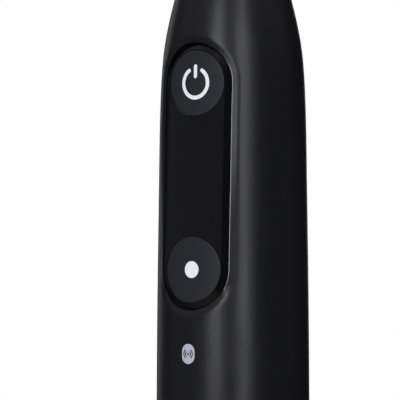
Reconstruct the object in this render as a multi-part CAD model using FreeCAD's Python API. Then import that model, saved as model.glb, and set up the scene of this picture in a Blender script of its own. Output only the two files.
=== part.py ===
import FreeCAD
import Part
import math
import os
from FreeCAD import Vector

# Electric toothbrush standing on its inductive charger.
# Millimetres. +Z is up, -Y is the front, where the keys and bristles face.
# The origin is on the table, under the middle of the charger and on the handle's axis.

# ---- charger -------------------------------------------------------------------------------
charger_width = 62.0
charger_depth = 72.0
charger_corner = 28.0
charger_height = 18.0
charger_edge = 6.5
charger_wall = 2.0
foot_pad_thickness = 1.0
foot_pad_inset = 3.0
base_plate_thickness = 2.0
base_plate_gap = 0.15
dish_depth = 1.4
dish_gap = 0.9
peg_radius = 4.6
peg_height = 11.0
peg_wall = 1.0
peg_round = 1.2
peg_top_wall = 1.4
core_radius = 2.3
core_top_gap = 0.6
coil_wire_gap = 0.15
charger_coil_drop = 4.0
charger_coil_top_gap = 0.6
charger_coil_bore_gap = 0.05
hold_magnet_inner = 7.6
hold_magnet_outer = 11.6
hold_magnet_thickness = 2.4
hold_magnet_gap = 0.1
screw_boss_radius = 2.6
screw_shank_radius = 1.1
screw_head_radius = 2.1
screw_head_height = 1.2
screw_length = 7.0
screw_inset = 9.5
screw_row_shift = 6.0
screw_hole_gap = 0.2
screw_slot_half_length, screw_slot_half_width = 1.5, 0.3
screw_slot_depth = 0.5
board_thickness = 1.0
charger_board_width = 34.0
charger_board_depth = 38.0
charger_board_rise = 2.2
board_post_radius = 1.6
board_post_inset = 4.0
charger_part_height = 5.5
charger_part_air = 0.6
gland_radius = 3.2
gland_bore = 1.75
gland_height = 7.0
gland_flange = 0.8
gland_flange_reach = 1.0
gland_back_gap = 0.1
gland_side_gap = 0.05
gland_wall_gap = 0.35
gland_pocket = 9.0

# ---- handle housing; each drop is measured down from the neck's top --------------------------
handle_height = 170.0
wall = 1.6
foot_radius = 13.9
foot_edge = 1.6
belly_radius, belly_height = 14.68, 55.0
lower_key_radius, lower_key_drop = 14.47, 81.3
grip_radius, grip_drop = 14.2, 62.4
upper_key_radius, upper_key_drop = 13.79, 46.0
shoulder_radius, shoulder_drop = 13.05, 38.0
taper_radius, taper_drop = 11.87, 32.2
slope_radius, slope_drop = 10.05, 25.0
throat_radius, throat_drop = 8.25, 17.0
neck_start_radius, neck_start_drop = 7.25, 8.0
neck_radius = 6.95
seat_gap = 0.2
fit_gap = 0.1
contact_gap = 0.02

# ---- control panel -------------------------------------------------------------------------
panel_drop = 63.65
key_spacing = 35.3
panel_half_width = 7.7
panel_front = 13.0
panel_slope = 0.0337
panel_crown = 29.0
panel_gap = 0.06
lens_depth = 2.8
lens_round = 1.2
lip_depth = 0.3
bevel_width = 1.25
bevel_overrun = 0.35
gasket_thickness = 0.3
gasket_width = 0.85
floor_thickness = 1.0
boss_margin = 2.2
key_radius = 6.2
key_gap = 0.1
key_thickness = 2.0
key_edge = 0.18
stem_radius = 2.0
stem_gap = 0.1
stem_seal_width = 0.7
inlay_depth = 0.4
power_ring_radius = 2.78
stroke = 0.76
power_gap_angle = 32.0
power_bar_low, power_bar_high = 1.27, 3.16
mode_dot_radius = 1.62
badge_drop = 97.2
badge_half_width = 1.5
badge_half_length = 1.95
badge_depth = 0.3

# ---- switches and boards -------------------------------------------------------------------
switch_size = 4.2
switch_height = 1.2
switch_air = 0.6
plunger_radius = 0.9
plunger_length = 1.2
key_board_half_width = 7.2
key_board_margin = 6.0
light_guide_half_width = 1.6
light_guide_half_length = 9.0
lamp_count = 5
lamp_height = 0.6
lamp_half_width, lamp_half_length = 0.8, 0.5
main_board_length = 58.0
main_board_air = 3.6
main_board_margin = 1.2
post_inset = 6.0
upper_post_shift = 3.0
post_radius = 1.6

# ---- power and drive -----------------------------------------------------------------------
socket_gap = 0.6
socket_depth_gap = 1.4
socket_wall = 1.2
base_cap_thickness = 2.4
base_cap_skirt = 5.2
base_cap_recess = 0.3
skirt_wall = 1.4
keeper_thickness = 1.2
keeper_gap = 0.3
base_seal_height = 1.6
base_seal_depth = 0.8
base_seal_edge = 1.2
coil_height = 7.6
coil_depth = 2.8
coil_air = 0.6
winding_margin = 0.3
bobbin_wall = 0.7
battery_radius = 7.0
battery_length = 49.0
battery_air = 0.4
battery_edge = 0.5
battery_fit = 0.15
nub_radius, nub_height = 2.8, 0.6
tab_thickness = 0.3
tab_half_width = 2.5
bulkhead_thickness = 2.0
chassis_plate = 1.2
chassis_air = 0.3
chassis_edge = 0.5
motor_half_width = 9.0
motor_half_depth = 4.8
motor_height = 46.0
motor_wall = 0.8
motor_window_half_width, motor_window_half_height = 3.5, 6.0
end_plate_thickness = 0.8
end_plate_inset = 0.3
end_plate_play = 0.6
spring_thickness = 0.3
spring_inset = 2.6
spring_slot_near, spring_slot_far = 0.9, 2.1
spring_slot_width = 0.5
spring_slot_short_end, spring_slot_long_end = 1.6, 3.2
yoke_half_width = 2.2
yoke_half_depth = 2.8
yoke_height = 18.0
magnet_thickness = 1.2
magnet_height = 7.5
magnet_gap = 0.6
air_gap = 0.6
pole_length = 2.4
pole_height = 3.4
stator_height = 28.0
stator_side_gap = 0.3
centre_pole_step = 1.2
stator_coil_round = 1.2
stator_coil_wall = 1.0
stator_coil_end_gap = 0.6
stator_coil_gap = 0.2
shaft_radius = 1.5
shaft_gap = 0.05
shaft_flat = 0.35
shaft_flat_length = 9.0
shaft_tail = 1.6
shaft_tip_step, shaft_tip_length = 0.4, 0.6
drive_travel = 0.5

# ---- neck ----------------------------------------------------------------------------------
ring_height = 2.5
ring_seat_gap = 0.05
nose_collar = 2.1
nose_radius = 4.9
nose_height = 8.5
nose_flat = 4.3
spigot_depth = 7.5
nose_bore_gap = 0.8
bush_wall = 1.1
bush_length = 6.0
ring_board_thickness = 0.8
ring_board_gap = 0.3
ring_board_bore_gap = 1.0
seal_height = 2.4
seal_foot_inset = 0.3
seal_lip = 0.7

# ---- brush head ----------------------------------------------------------------------------
head_gap = 0.25
head_length = 68.0
head_wall = 1.15
head_foot_radius = 6.85
head_mid_radius, head_mid_height = 5.35, 20.0
head_slim_radius, head_slim_height = 4.4, 44.0
head_top_radius, head_top_height = 4.2, 60.0
id_ring_height = 2.6
id_ring_gap = 0.05
insert_height = 7.0
insert_inset = 0.3
insert_gap = 0.15
cup_radius = 5.9
cup_back = 3.6
cup_front = 2.5
cup_wall = 1.0
cup_round = 2.2
cup_back_wall = 1.4
cup_front_reach = 3.0
disc_radius = 6.9
disc_thickness = 2.0
disc_air = 0.3
disc_edge = 0.6
hub_radius = 1.9
axle_radius = 0.75
axle_front_cover, axle_front_play = 0.85, 0.05
axle_back_cover, axle_back_play = 0.5, 0.1
crank_radius = 2.0
crank_pin_radius = 0.5
crank_pin_gap = 0.06
crank_pin_cover = 0.9
crank_pin_slide = 0.3
crank_slot_depth = 0.4
crank_arm_half_height = 1.2
crank_plate_thickness = 1.3
rod_half_width = 1.1
rod_half_depth = 0.9
rod_socket_wall = 0.9
rod_socket_length = 9.6
rod_rise = 0.8
rod_pin_margin = 0.1
rod_axle_air = 0.15
rod_socket_cap = 1.2
rod_elbow_drop = 6.0
rod_elbow_height = 1.5
rod_pin_rise = 0.8
rod_pin_end_gap = 0.1
clip_wall = 0.35
clip_height = 2.4
clip_rise = 2.5
clip_half_split = 0.6
clip_gap = 0.01
tuft_radius = 0.72
tuft_length = 8.2
outer_tufts, outer_tuft_circle = 16, 5.75
middle_tufts, middle_tuft_circle = 10, 3.75
centre_tufts, centre_tuft_circle = 6, 1.95

# ---- heights that follow from the sizes above ----------------------------------------------
charger_floor = foot_pad_thickness
seat = charger_height - dish_depth
handle_foot = seat + seat_gap
neck_top = handle_foot + handle_height
ring_top = neck_top + ring_height
nose_shoulder = ring_top + nose_collar
nose_top = nose_shoulder + nose_height
seal_top = nose_top + seal_height
rod_foot = seal_top + drive_travel + rod_rise
rod_socket_top = rod_foot + rod_socket_length
shaft_top = rod_socket_top - drive_travel - rod_rise
head_foot = nose_shoulder + head_gap
disc_height = head_foot + head_length
socket_radius = peg_radius + socket_gap
socket_depth = peg_height + socket_depth_gap
panel_z = neck_top - panel_drop
upper_key_z = panel_z + key_spacing / 2
lower_key_z = panel_z - key_spacing / 2
inner_foot_radius = foot_radius - wall
key_board_depth = (lens_depth + gasket_thickness + floor_thickness + switch_air
                   + switch_height)
far = 60.0


# ---- simple solids -------------------------------------------------------------------------
def block(x_low, x_high, y_low, y_high, z_low, z_high):
    return Part.makeBox(x_high - x_low, y_high - y_low, z_high - z_low,
                        Vector(x_low, y_low, z_low))


def rod_up(radius, z_low, z_high, x=0.0, y=0.0):
    return Part.makeCylinder(radius, z_high - z_low, Vector(x, y, z_low))


def tube_up(outer, inner, z_low, z_high, x=0.0, y=0.0):
    return rod_up(outer, z_low, z_high, x, y).cut(rod_up(inner, z_low, z_high, x, y))


def rod_back(radius, y_low, y_high, x=0.0, z=0.0):
    return Part.makeCylinder(radius, y_high - y_low, Vector(x, y_low, z), Vector(0, 1, 0))


def turned(edges):
    return Part.Face(Part.Wire(edges)).revolve(Vector(0, 0, 0), Vector(0, 0, 1), 360)


def line(start, end):
    return Part.LineSegment(start, end).toShape()


def curve_through(points):
    curve = Part.BSplineCurve()
    curve.interpolate(points)
    return curve


def stadium_back(half_width, half_spacing, y_low, y_high, z_mid):
    """A prism along Y whose outline is a slot standing upright."""
    depth = y_high - y_low
    body = block(-half_width, half_width, y_low, y_high, z_mid - half_spacing,
                 z_mid + half_spacing)
    ends = [Part.makeCylinder(half_width, depth, Vector(0, y_low, z_mid + side * half_spacing),
                              Vector(0, 1, 0)) for side in (-1, 1)]
    return body.fuse(ends).removeSplitter()


def rounded_slab(width, depth, corner, z_low, z_high):
    slab = block(-width / 2, width / 2, -depth / 2, depth / 2, z_low, z_high)
    upright = [e for e in slab.Edges if abs(e.Vertexes[0].X - e.Vertexes[1].X) < 1e-6
               and abs(e.Vertexes[0].Y - e.Vertexes[1].Y) < 1e-6]
    return slab.makeFillet(corner, upright)


# ---- handle outline ------------------------------------------------------------------------
def outline_curve(inset):
    """The housing's side from its foot to its neck, moved in by inset."""
    lower = [(foot_radius, foot_edge), (belly_radius, belly_height)]
    upper = [(lower_key_radius, lower_key_drop), (grip_radius, grip_drop),
             (upper_key_radius, upper_key_drop), (shoulder_radius, shoulder_drop),
             (taper_radius, taper_drop), (slope_radius, slope_drop),
             (throat_radius, throat_drop), (neck_start_radius, neck_start_drop),
             (neck_radius, 0.0)]
    stations = lower + [(r, handle_height - drop) for r, drop in upper]
    return curve_through([Vector(r - inset, 0, handle_foot + h) for r, h in stations])


outer_curve = outline_curve(0.0)


def radius_at(z):
    """The housing's outer radius at a height, found by halving the curve's range."""
    low, high = outer_curve.FirstParameter, outer_curve.LastParameter
    for _ in range(40):
        middle = (low + high) / 2
        if outer_curve.value(middle).z < z:
            low = middle
        else:
            high = middle
    return outer_curve.value(low).x


def handle_solid(inset):
    side = outline_curve(inset)
    low, high = side.StartPoint, side.EndPoint
    if inset > 0:
        foot = Vector(low.x, 0, handle_foot - 1)
        edges = [line(Vector(0, 0, foot.z), foot), line(foot, low)]
    else:
        heel = Vector(low.x - foot_edge, 0, handle_foot)
        swing = foot_edge * (1 - math.cos(math.pi / 4))
        between = Vector(low.x - swing, 0, handle_foot + swing)
        edges = [line(Vector(0, 0, handle_foot), heel),
                 Part.Arc(heel, between, low).toShape()]
    top = Vector(0, 0, high.z)
    bottom = edges[0].Vertexes[0].Point
    edges = edges + [side.toShape(), line(high, top), line(top, bottom)]
    return turned(edges)


def wall_radius(z):
    return radius_at(z) - wall


# ---- control panel geometry ----------------------------------------------------------------
def panel_y(x, z, depth=0.0):
    """The panel's crowned face, or a surface at that depth under it."""
    front = panel_front - panel_slope * (z - panel_z)
    crown = panel_crown - math.sqrt(panel_crown ** 2 - x ** 2)
    return -front + crown + depth


def tilted(shape, pivot):
    return shape.rotated(pivot, Vector(1, 0, 0), -math.degrees(math.atan(panel_slope)))


def behind_plane(depth):
    """Everything deeper than a flat surface at that depth under the panel's face."""
    pivot = Vector(0, -panel_front + depth, panel_z)
    return tilted(block(-far, far, pivot.y, pivot.y + far, panel_z - far, panel_z + far), pivot)


def behind_face(depth=0.0):
    """Everything deeper than the crowned face moved in by depth."""
    pivot = Vector(0, -panel_front + depth, panel_z)
    drum = Part.makeCylinder(panel_crown, 2 * far,
                             Vector(0, pivot.y + panel_crown, panel_z - far))
    return tilted(drum, pivot)


def panel_ring(offset, place):
    """A closed wire round the panel, offset from its outline, with y from place(x, z, fx, fz)."""
    half, reach = key_spacing / 2, panel_half_width + offset
    steps = 8

    def point(x, z, seam_x):
        return Vector(x, place(x, z, seam_x), z)

    def side(sign):
        rows = [panel_z - sign * half + sign * 2 * half * i / steps for i in range(steps + 1)]
        return [point(sign * reach, z, sign * panel_half_width) for z in rows]

    def end(sign):
        turns = [math.pi * i / steps for i in range(steps + 1)]
        return [point(sign * reach * math.cos(t), panel_z + sign * (half + reach * math.sin(t)),
                      sign * panel_half_width * math.cos(t)) for t in turns]

    return [side(1), end(1), side(-1), end(-1)]


def wire_of(point_lists):
    return Part.Wire([curve_through(points).toShape() for points in point_lists])


def bevel_tool():
    """What the sloping rim round the panel takes out of the housing."""
    seam = panel_ring(0.0, lambda x, z, sx: panel_y(x, z, lip_depth))
    rim = panel_ring(bevel_width, lambda x, z, sx: -math.sqrt(radius_at(z) ** 2 - x ** 2))

    def between(share):
        return [[s + (r - s) * share for s, r in zip(a, b)] for a, b in zip(seam, rim)]

    within, beyond = between(-bevel_overrun), between(1 + bevel_overrun)
    inside = [[Vector(p.x, panel_y(p.x, p.z, lens_depth), p.z) for p in row] for row in within]
    outside = [[Vector(p.x, -far / 2, p.z) for p in row] for row in beyond]
    return Part.makeLoft([wire_of(r) for r in (inside, within, beyond, outside)], True, True)


# ---- handle --------------------------------------------------------------------------------
def handle_shell():
    boss = stadium_back(panel_half_width + boss_margin, key_spacing / 2, -far / 2, 0, panel_z)
    boss = boss.cut(behind_plane(lens_depth + gasket_thickness + floor_thickness))
    shell = handle_solid(0).cut(handle_solid(wall).cut(boss))
    pocket = stadium_back(panel_half_width, key_spacing / 2, -far / 2, 0, panel_z)
    pocket = pocket.cut(behind_plane(lens_depth + gasket_thickness))
    shell = shell.cut(bevel_tool()).cut(pocket)
    hole = stem_radius + stem_gap + stem_seal_width
    for z in (upper_key_z, lower_key_z):
        shell = shell.cut(rod_back(hole, -far / 2, 0, 0, z))
    guide = light_guide_half_width + fit_gap
    shell = shell.cut(stadium_back(guide, light_guide_half_length + fit_gap, -far / 2, 0, panel_z))
    return shell.cut(badge_prism())


def badge_prism():
    z = neck_top - badge_drop
    half = badge_half_length - badge_half_width
    prism = stadium_back(badge_half_width, half, -far / 2, 0, z)
    core = handle_solid(badge_depth)
    return prism.cut(core)


def wireless_badge():
    return handle_solid(0).common(badge_prism())


def control_lens():
    outline = stadium_back(panel_half_width - panel_gap, key_spacing / 2, -far / 2, 0, panel_z)
    lens = outline.common(behind_face()).cut(behind_plane(lens_depth))
    crown = max((f for f in lens.Faces if isinstance(f.Surface, Part.Cylinder)
                 and abs(f.Surface.Radius - panel_crown) < 1e-3), key=lambda f: f.Area)
    lens = lens.makeFillet(lens_round, crown.OuterWire.Edges)
    for z in (upper_key_z, lower_key_z):
        lens = lens.cut(rod_back(key_radius + key_gap, -far / 2, 0, 0, z))
    return lens


def lens_gasket():
    outer = panel_half_width - fit_gap
    ring = stadium_back(outer, key_spacing / 2, -far / 2, 0, panel_z)
    ring = ring.cut(stadium_back(outer - gasket_width, key_spacing / 2, -far / 2, 0, panel_z))
    return ring.common(behind_plane(lens_depth)).cut(behind_plane(lens_depth + gasket_thickness))


def stem_seals():
    low = lens_depth + gasket_thickness
    seals = []
    for z in (upper_key_z, lower_key_z):
        ring = rod_back(stem_radius + stem_gap + stem_seal_width, -far / 2, 0, 0, z)
        ring = ring.cut(rod_back(stem_radius + stem_gap, -far / 2, 0, 0, z))
        seals.append(ring.common(behind_plane(low)).cut(behind_plane(low + floor_thickness)))
    return Part.makeCompound(seals)


def key_blank(z):
    disc = rod_back(key_radius, -far / 2, 0, 0, z).common(behind_face())
    disc = disc.cut(behind_plane(key_thickness))
    face = max((f for f in disc.Faces if isinstance(f.Surface, Part.Cylinder)
                and abs(f.Surface.Radius - panel_crown) < 1e-3), key=lambda f: f.Area)
    disc = disc.makeFillet(key_edge, face.OuterWire.Edges)
    low, high = panel_y(0, z, key_thickness - 0.2), panel_y(0, z, plunger_top_depth())
    return disc.fuse(rod_back(stem_radius, low, high, 0, z)).removeSplitter()


def plunger_top_depth():
    return key_board_depth - switch_height - switch_air + fit_gap


def power_mark():
    z = upper_key_z
    low, high = -far / 2, 0
    ring = rod_back(power_ring_radius + stroke / 2, low, high, 0, z)
    ring = ring.cut(rod_back(power_ring_radius - stroke / 2, low, high, 0, z))
    reach = 2 * power_ring_radius
    half = reach * math.tan(math.radians(power_gap_angle))
    wedge = Part.makePolygon([Vector(0, low, z), Vector(half, low, z + reach),
                              Vector(-half, low, z + reach), Vector(0, low, z)])
    ring = ring.cut(Part.Face(wedge).extrude(Vector(0, high - low, 0)))
    lean = math.radians(power_gap_angle)
    tips = [rod_back(stroke / 2, low, high, side * power_ring_radius * math.sin(lean),
                     z + power_ring_radius * math.cos(lean)) for side in (-1, 1)]
    ring = ring.fuse(tips).removeSplitter()
    middle = (power_bar_low + power_bar_high) / 2
    bar = stadium_back(stroke / 2, (power_bar_high - power_bar_low) / 2, low, high, z + middle)
    return ring, bar


def inlay(prism, z):
    return prism.common(behind_face()).cut(behind_plane(inlay_depth))


def power_icon():
    return Part.makeCompound([inlay(p, upper_key_z) for p in power_mark()])


def power_button():
    key = key_blank(upper_key_z)
    for part in power_mark():
        key = key.cut(inlay(part, upper_key_z))
    return key


def mode_dot():
    return inlay(rod_back(mode_dot_radius, -far / 2, 0, 0, lower_key_z), lower_key_z)


def mode_button():
    return key_blank(lower_key_z).cut(mode_dot())


def plunger(z):
    top = panel_y(0, z, plunger_top_depth())
    return rod_back(plunger_radius, top, top + plunger_length, 0, z)


def light_guide():
    bar = stadium_back(light_guide_half_width, light_guide_half_length, -far / 2, 0, panel_z)
    low = key_board_depth - lamp_height
    return bar.common(behind_plane(lens_depth)).cut(behind_plane(low - fit_gap))


def key_board():
    half = key_spacing / 2 + key_board_margin
    board = block(-key_board_half_width, key_board_half_width, -far / 2, 0,
                  panel_z - half, panel_z + half)
    return board.common(behind_plane(key_board_depth)).cut(
        behind_plane(key_board_depth + board_thickness))


def key_switches():
    top = key_board_depth - switch_height
    half = switch_size / 2
    bodies = []
    for z in (upper_key_z, lower_key_z):
        body = block(-half, half, -far / 2, 0, z - half, z + half)
        body = body.common(behind_plane(top)).cut(behind_plane(key_board_depth))
        bodies.append(body.cut(rod_back(plunger_radius + fit_gap, -far / 2, 0, 0, z)))
    return Part.makeCompound(bodies)


def mode_lamps():
    pitch = 2 * light_guide_half_length / lamp_count
    lamps = []
    for i in range(lamp_count):
        z = panel_z + (i - (lamp_count - 1) / 2) * pitch
        lamp = block(-lamp_half_width, lamp_half_width, -far / 2, 0, z - lamp_half_length,
                     z + lamp_half_length)
        lamps.append(lamp.common(behind_plane(key_board_depth - lamp_height))
                     .cut(behind_plane(key_board_depth)))
    return Part.makeCompound(lamps)


# ---- power, inside the handle --------------------------------------------------------------
skirt_radius = inner_foot_radius - fit_gap
cap_top = handle_foot + base_cap_thickness + base_cap_skirt
coil_low = handle_foot + base_cap_thickness + keeper_thickness + coil_air
bulkhead_low = max(coil_low + coil_height + 2 * bobbin_wall,
                   handle_foot + socket_depth + socket_wall) + coil_air
battery_low = bulkhead_low + bulkhead_thickness + tab_thickness
battery_high = battery_low + battery_length
upper_bulkhead = battery_high + tab_thickness
motor_low = upper_bulkhead + bulkhead_thickness
motor_high = motor_low + motor_height


def narrowest(z_low, z_high, steps=12):
    return min(wall_radius(z_low + (z_high - z_low) * i / steps) for i in range(steps + 1))


bay_radius = narrowest(bulkhead_low, motor_low)
battery_y = bay_radius - battery_radius - battery_air
plate_back = battery_y - battery_radius - chassis_air
plate_front = plate_back - chassis_plate
main_board_back = plate_front - main_board_air
main_board_half_width = (math.sqrt(bay_radius ** 2 - (board_thickness - main_board_back) ** 2)
                         - main_board_margin)
seal_z = cap_top - base_seal_height - base_seal_edge


def base_cap():
    cap = rod_up(skirt_radius, handle_foot + base_cap_recess, cap_top)
    cap = cap.cut(rod_up(skirt_radius - skirt_wall, handle_foot + base_cap_thickness, cap_top))
    top = handle_foot + socket_depth + socket_wall
    cap = cap.fuse(rod_up(socket_radius + socket_wall, handle_foot + base_cap_recess, top))
    cap = cap.cut(rod_up(socket_radius, handle_foot - 1, handle_foot + socket_depth))
    groove = tube_up(skirt_radius + 1, skirt_radius - base_seal_depth, seal_z,
                     seal_z + base_seal_height)
    return cap.cut(groove).removeSplitter()


def base_seal():
    return tube_up(inner_foot_radius - contact_gap, skirt_radius - base_seal_depth, seal_z,
                   seal_z + base_seal_height)


def keeper_ring():
    low = handle_foot + base_cap_thickness
    return tube_up(skirt_radius - skirt_wall - keeper_gap, socket_radius + socket_wall + keeper_gap,
                   low, low + keeper_thickness)


def charge_coil():
    inner = socket_radius + socket_wall + bobbin_wall + fit_gap
    low = coil_low + bobbin_wall
    return tube_up(inner + coil_depth - winding_margin, inner + contact_gap, low + contact_gap,
                   low + coil_height - contact_gap)


def coil_bobbin():
    bore = socket_radius + socket_wall + fit_gap
    hub = bore + bobbin_wall
    high = coil_low + coil_height + 2 * bobbin_wall
    body = tube_up(hub + coil_depth, bore, coil_low, high)
    return body.cut(tube_up(hub + coil_depth + 1, hub, coil_low + bobbin_wall, high - bobbin_wall))


def battery():
    can = rod_up(battery_radius, battery_low, battery_high - nub_height, 0, battery_y)
    edges = [e for e in can.Edges if isinstance(e.Curve, Part.Circle)]
    can = can.makeFillet(battery_edge, edges)
    nub = rod_up(nub_radius, battery_high - nub_height - fit_gap, battery_high, 0, battery_y)
    return can.fuse(nub).removeSplitter()


def battery_tabs():
    tabs = []
    for low in (battery_low - tab_thickness, battery_high):
        tabs.append(block(-tab_half_width, tab_half_width, plate_back, battery_y + tab_half_width,
                          low, low + tab_thickness))
    return Part.makeCompound(tabs)


def chassis():
    reach = bay_radius - chassis_air
    half = math.sqrt(reach ** 2 - plate_front ** 2) - chassis_edge
    plate = block(-half, half, plate_front, plate_back, bulkhead_low, motor_low)
    keep = block(-far, far, plate_front, far, bulkhead_low, motor_low)
    parts = []
    for low in (bulkhead_low, upper_bulkhead):
        top = low + bulkhead_thickness
        parts.append(rod_up(reach, low, top).common(keep))
    for z in (bulkhead_low + post_inset, bulkhead_low + main_board_length - post_inset
              - upper_post_shift):
        parts.append(rod_back(post_radius, main_board_back, plate_back, 0, z))
    frame = plate.fuse(parts)
    cell = rod_up(battery_radius + battery_fit, battery_low, battery_high, 0, battery_y)
    return frame.cut(cell).removeSplitter()


def main_board():
    low = bulkhead_low
    half = main_board_half_width
    return block(-half, half, main_board_back - board_thickness, main_board_back, low,
                 low + main_board_length)


def board_chips():
    front = main_board_back - board_thickness
    places = [(-2.6, 14.0, 5.0, 5.0, 0.9), (3.4, 14.5, 3.0, 4.0, 0.8), (0.0, 24.0, 6.0, 4.0, 1.0),
              (-3.0, 33.0, 3.0, 3.0, 1.2), (2.6, 35.0, 4.0, 5.0, 0.9), (0.0, 46.0, 7.0, 3.2, 1.0)]
    chips = []
    for x, rise, wide, tall, thick in places:
        z = bulkhead_low + rise
        chips.append(block(x - wide / 2, x + wide / 2, front - thick, front, z - tall / 2,
                           z + tall / 2))
    return Part.makeCompound(chips)


# ---- drive ---------------------------------------------------------------------------------
motor_mid = (motor_low + motor_high) / 2
pole_x = yoke_half_width + magnet_thickness + air_gap


def motor_frame():
    frame = block(-motor_half_width, motor_half_width, -motor_half_depth, motor_half_depth,
                  motor_low, motor_high)
    frame = frame.cut(block(-motor_half_width + motor_wall, motor_half_width - motor_wall,
                            -motor_half_depth + motor_wall, motor_half_depth - motor_wall,
                            motor_low, motor_high))
    window = block(-motor_window_half_width, motor_window_half_width, -far, far,
                   motor_mid - motor_window_half_height, motor_mid + motor_window_half_height)
    return frame.cut(window)


def end_plates():
    half_x = motor_half_width - motor_wall - fit_gap
    half_y = motor_half_depth - motor_wall - fit_gap
    plates = []
    for low in (motor_low + end_plate_inset, motor_high - end_plate_inset - end_plate_thickness):
        plate = block(-half_x, half_x, -half_y, half_y, low, low + end_plate_thickness)
        plates.append(plate.cut(rod_up(shaft_radius + end_plate_play, low,
                                       low + end_plate_thickness)))
    return Part.makeCompound(plates)


def leaf_springs():
    """Two slotted flexures that hold the yoke on the axis and let it rise and fall."""
    half_x = motor_half_width - motor_wall - fit_gap
    half_y = motor_half_depth - motor_wall - fit_gap
    springs = []
    for low in (motor_low + spring_inset, motor_high - spring_inset - spring_thickness):
        high = low + spring_thickness
        leaf = block(-half_x, half_x, -half_y, half_y, low, high)
        leaf = leaf.cut(rod_up(shaft_radius + shaft_gap, low, high))
        for side in (-1, 1):
            slot_low, slot_high = sorted((side * spring_slot_near, side * spring_slot_far))
            leaf = leaf.cut(block(-half_x + spring_slot_short_end, half_x - spring_slot_long_end,
                                  slot_low, slot_low + spring_slot_width, low, high))
            leaf = leaf.cut(block(-half_x + spring_slot_long_end, half_x - spring_slot_short_end,
                                  slot_high, slot_high + spring_slot_width, low, high))
        springs.append(leaf)
    return Part.makeCompound(springs)


def stator_cores():
    back = motor_half_width - motor_wall - fit_gap
    face = pole_x + pole_length
    depth = motor_half_depth - motor_wall - stator_side_gap
    low, high = motor_mid - stator_height / 2, motor_mid + stator_height / 2
    cores = []
    for side in (-1, 1):
        def span(near, away, z_low, z_high, half_y):
            x_low, x_high = sorted((side * near, side * away))
            return block(x_low, x_high, -half_y, half_y, z_low, z_high)
        core = span(face, back, low, high, depth)
        poles = [span(pole_x, face, low, low + pole_height, depth),
                 span(pole_x, face, high - pole_height, high, depth),
                 span(pole_x, face, motor_mid - pole_height / 2, motor_mid + pole_height / 2,
                      depth - centre_pole_step)]
        cores.append(core.fuse(poles).removeSplitter())
    return Part.makeCompound(cores)


def stator_coils():
    depth = motor_half_depth - motor_wall - stator_side_gap
    reach = stator_height / 2 - pole_height - stator_coil_end_gap
    coils = []
    for side in (-1, 1):
        x_low, x_high = sorted((side * (pole_x + stator_coil_gap),
                                side * (pole_x + pole_length - fit_gap)))
        coil = block(x_low, x_high, -depth, depth, motor_mid - reach, motor_mid + reach)
        hole_half_depth = depth - stator_coil_wall
        hole_half_height = pole_height / 2 + stator_coil_gap
        hole = block(x_low, x_high, -hole_half_depth, hole_half_depth, motor_mid - hole_half_height,
                     motor_mid + hole_half_height)
        along = [e for e in coil.Edges if abs(e.Vertexes[0].X - e.Vertexes[1].X) > 0.5]
        coils.append(coil.makeFillet(stator_coil_round, along).cut(hole))
    return Part.makeCompound(coils)


def yoke():
    body = block(-yoke_half_width, yoke_half_width, -yoke_half_depth, yoke_half_depth,
                 motor_mid - yoke_height / 2, motor_mid + yoke_height / 2)
    return body.cut(rod_up(shaft_radius, motor_low, motor_high))


def yoke_magnets():
    magnets = []
    for side in (-1, 1):
        x_low, x_high = sorted((side * yoke_half_width,
                                side * (yoke_half_width + magnet_thickness)))
        for rise in (-1, 1):
            z = motor_mid + rise * (magnet_height + magnet_gap) / 2
            magnets.append(block(x_low, x_high, -yoke_half_depth, yoke_half_depth,
                                 z - magnet_height / 2, z + magnet_height / 2))
    return Part.makeCompound(magnets)


def drive_shaft():
    low = motor_low + shaft_tail
    shaft = rod_up(shaft_radius, low, shaft_top)
    tip = shaft_radius - shaft_tip_step
    tip_foot = shaft_top - shaft_tip_length
    shaft = shaft.common(rod_up(shaft_radius, low, tip_foot).fuse(
        Part.makeCone(shaft_radius, tip, shaft_tip_length, Vector(0, 0, tip_foot))))
    flat = block(-far, far, shaft_radius - shaft_flat, far, shaft_top - shaft_flat_length,
                 shaft_top)
    return shaft.cut(flat)


# ---- neck ----------------------------------------------------------------------------------
spigot_radius = narrowest(neck_top - spigot_depth, neck_top) - fit_gap


def light_ring():
    return tube_up(neck_radius, spigot_radius + fit_gap, neck_top + ring_seat_gap, ring_top)


def nose_cap():
    low = neck_top - spigot_depth
    cap = rod_up(spigot_radius, low, ring_top)
    cap = cap.fuse(rod_up(neck_radius, ring_top, nose_shoulder))
    boss = rod_up(nose_radius, nose_shoulder, nose_top)
    flats = block(-nose_flat, nose_flat, -far, far, nose_shoulder, nose_top)
    cap = cap.fuse(boss.common(flats))
    bore = shaft_radius + nose_bore_gap
    cap = cap.cut(rod_up(bore, low, nose_top))
    cap = cap.cut(rod_up(shaft_radius + shaft_gap + bush_wall, nose_top - bush_length, nose_top))
    return cap.removeSplitter()


def shaft_bush():
    return tube_up(shaft_radius + shaft_gap + bush_wall - contact_gap, shaft_radius + shaft_gap,
                   nose_top - bush_length, nose_top)


def shaft_seal():
    cone = Part.makeCone(nose_flat - seal_foot_inset, shaft_radius + seal_lip, seal_height,
                         Vector(0, 0, nose_top))
    return cone.cut(rod_up(shaft_radius + shaft_gap, nose_top, seal_top))


def ring_board():
    high = neck_top - spigot_depth - ring_board_gap
    low = high - ring_board_thickness
    outer = narrowest(low, high) - fit_gap
    return tube_up(outer, shaft_radius + ring_board_bore_gap, low, high)


# ---- brush head ----------------------------------------------------------------------------
def head_curve(inset):
    stations = [(head_foot_radius, 0.0), (head_mid_radius, head_mid_height),
                (head_slim_radius, head_slim_height), (head_top_radius, head_top_height)]
    return curve_through([Vector(r - inset, 0, head_foot + h) for r, h in stations])


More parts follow.
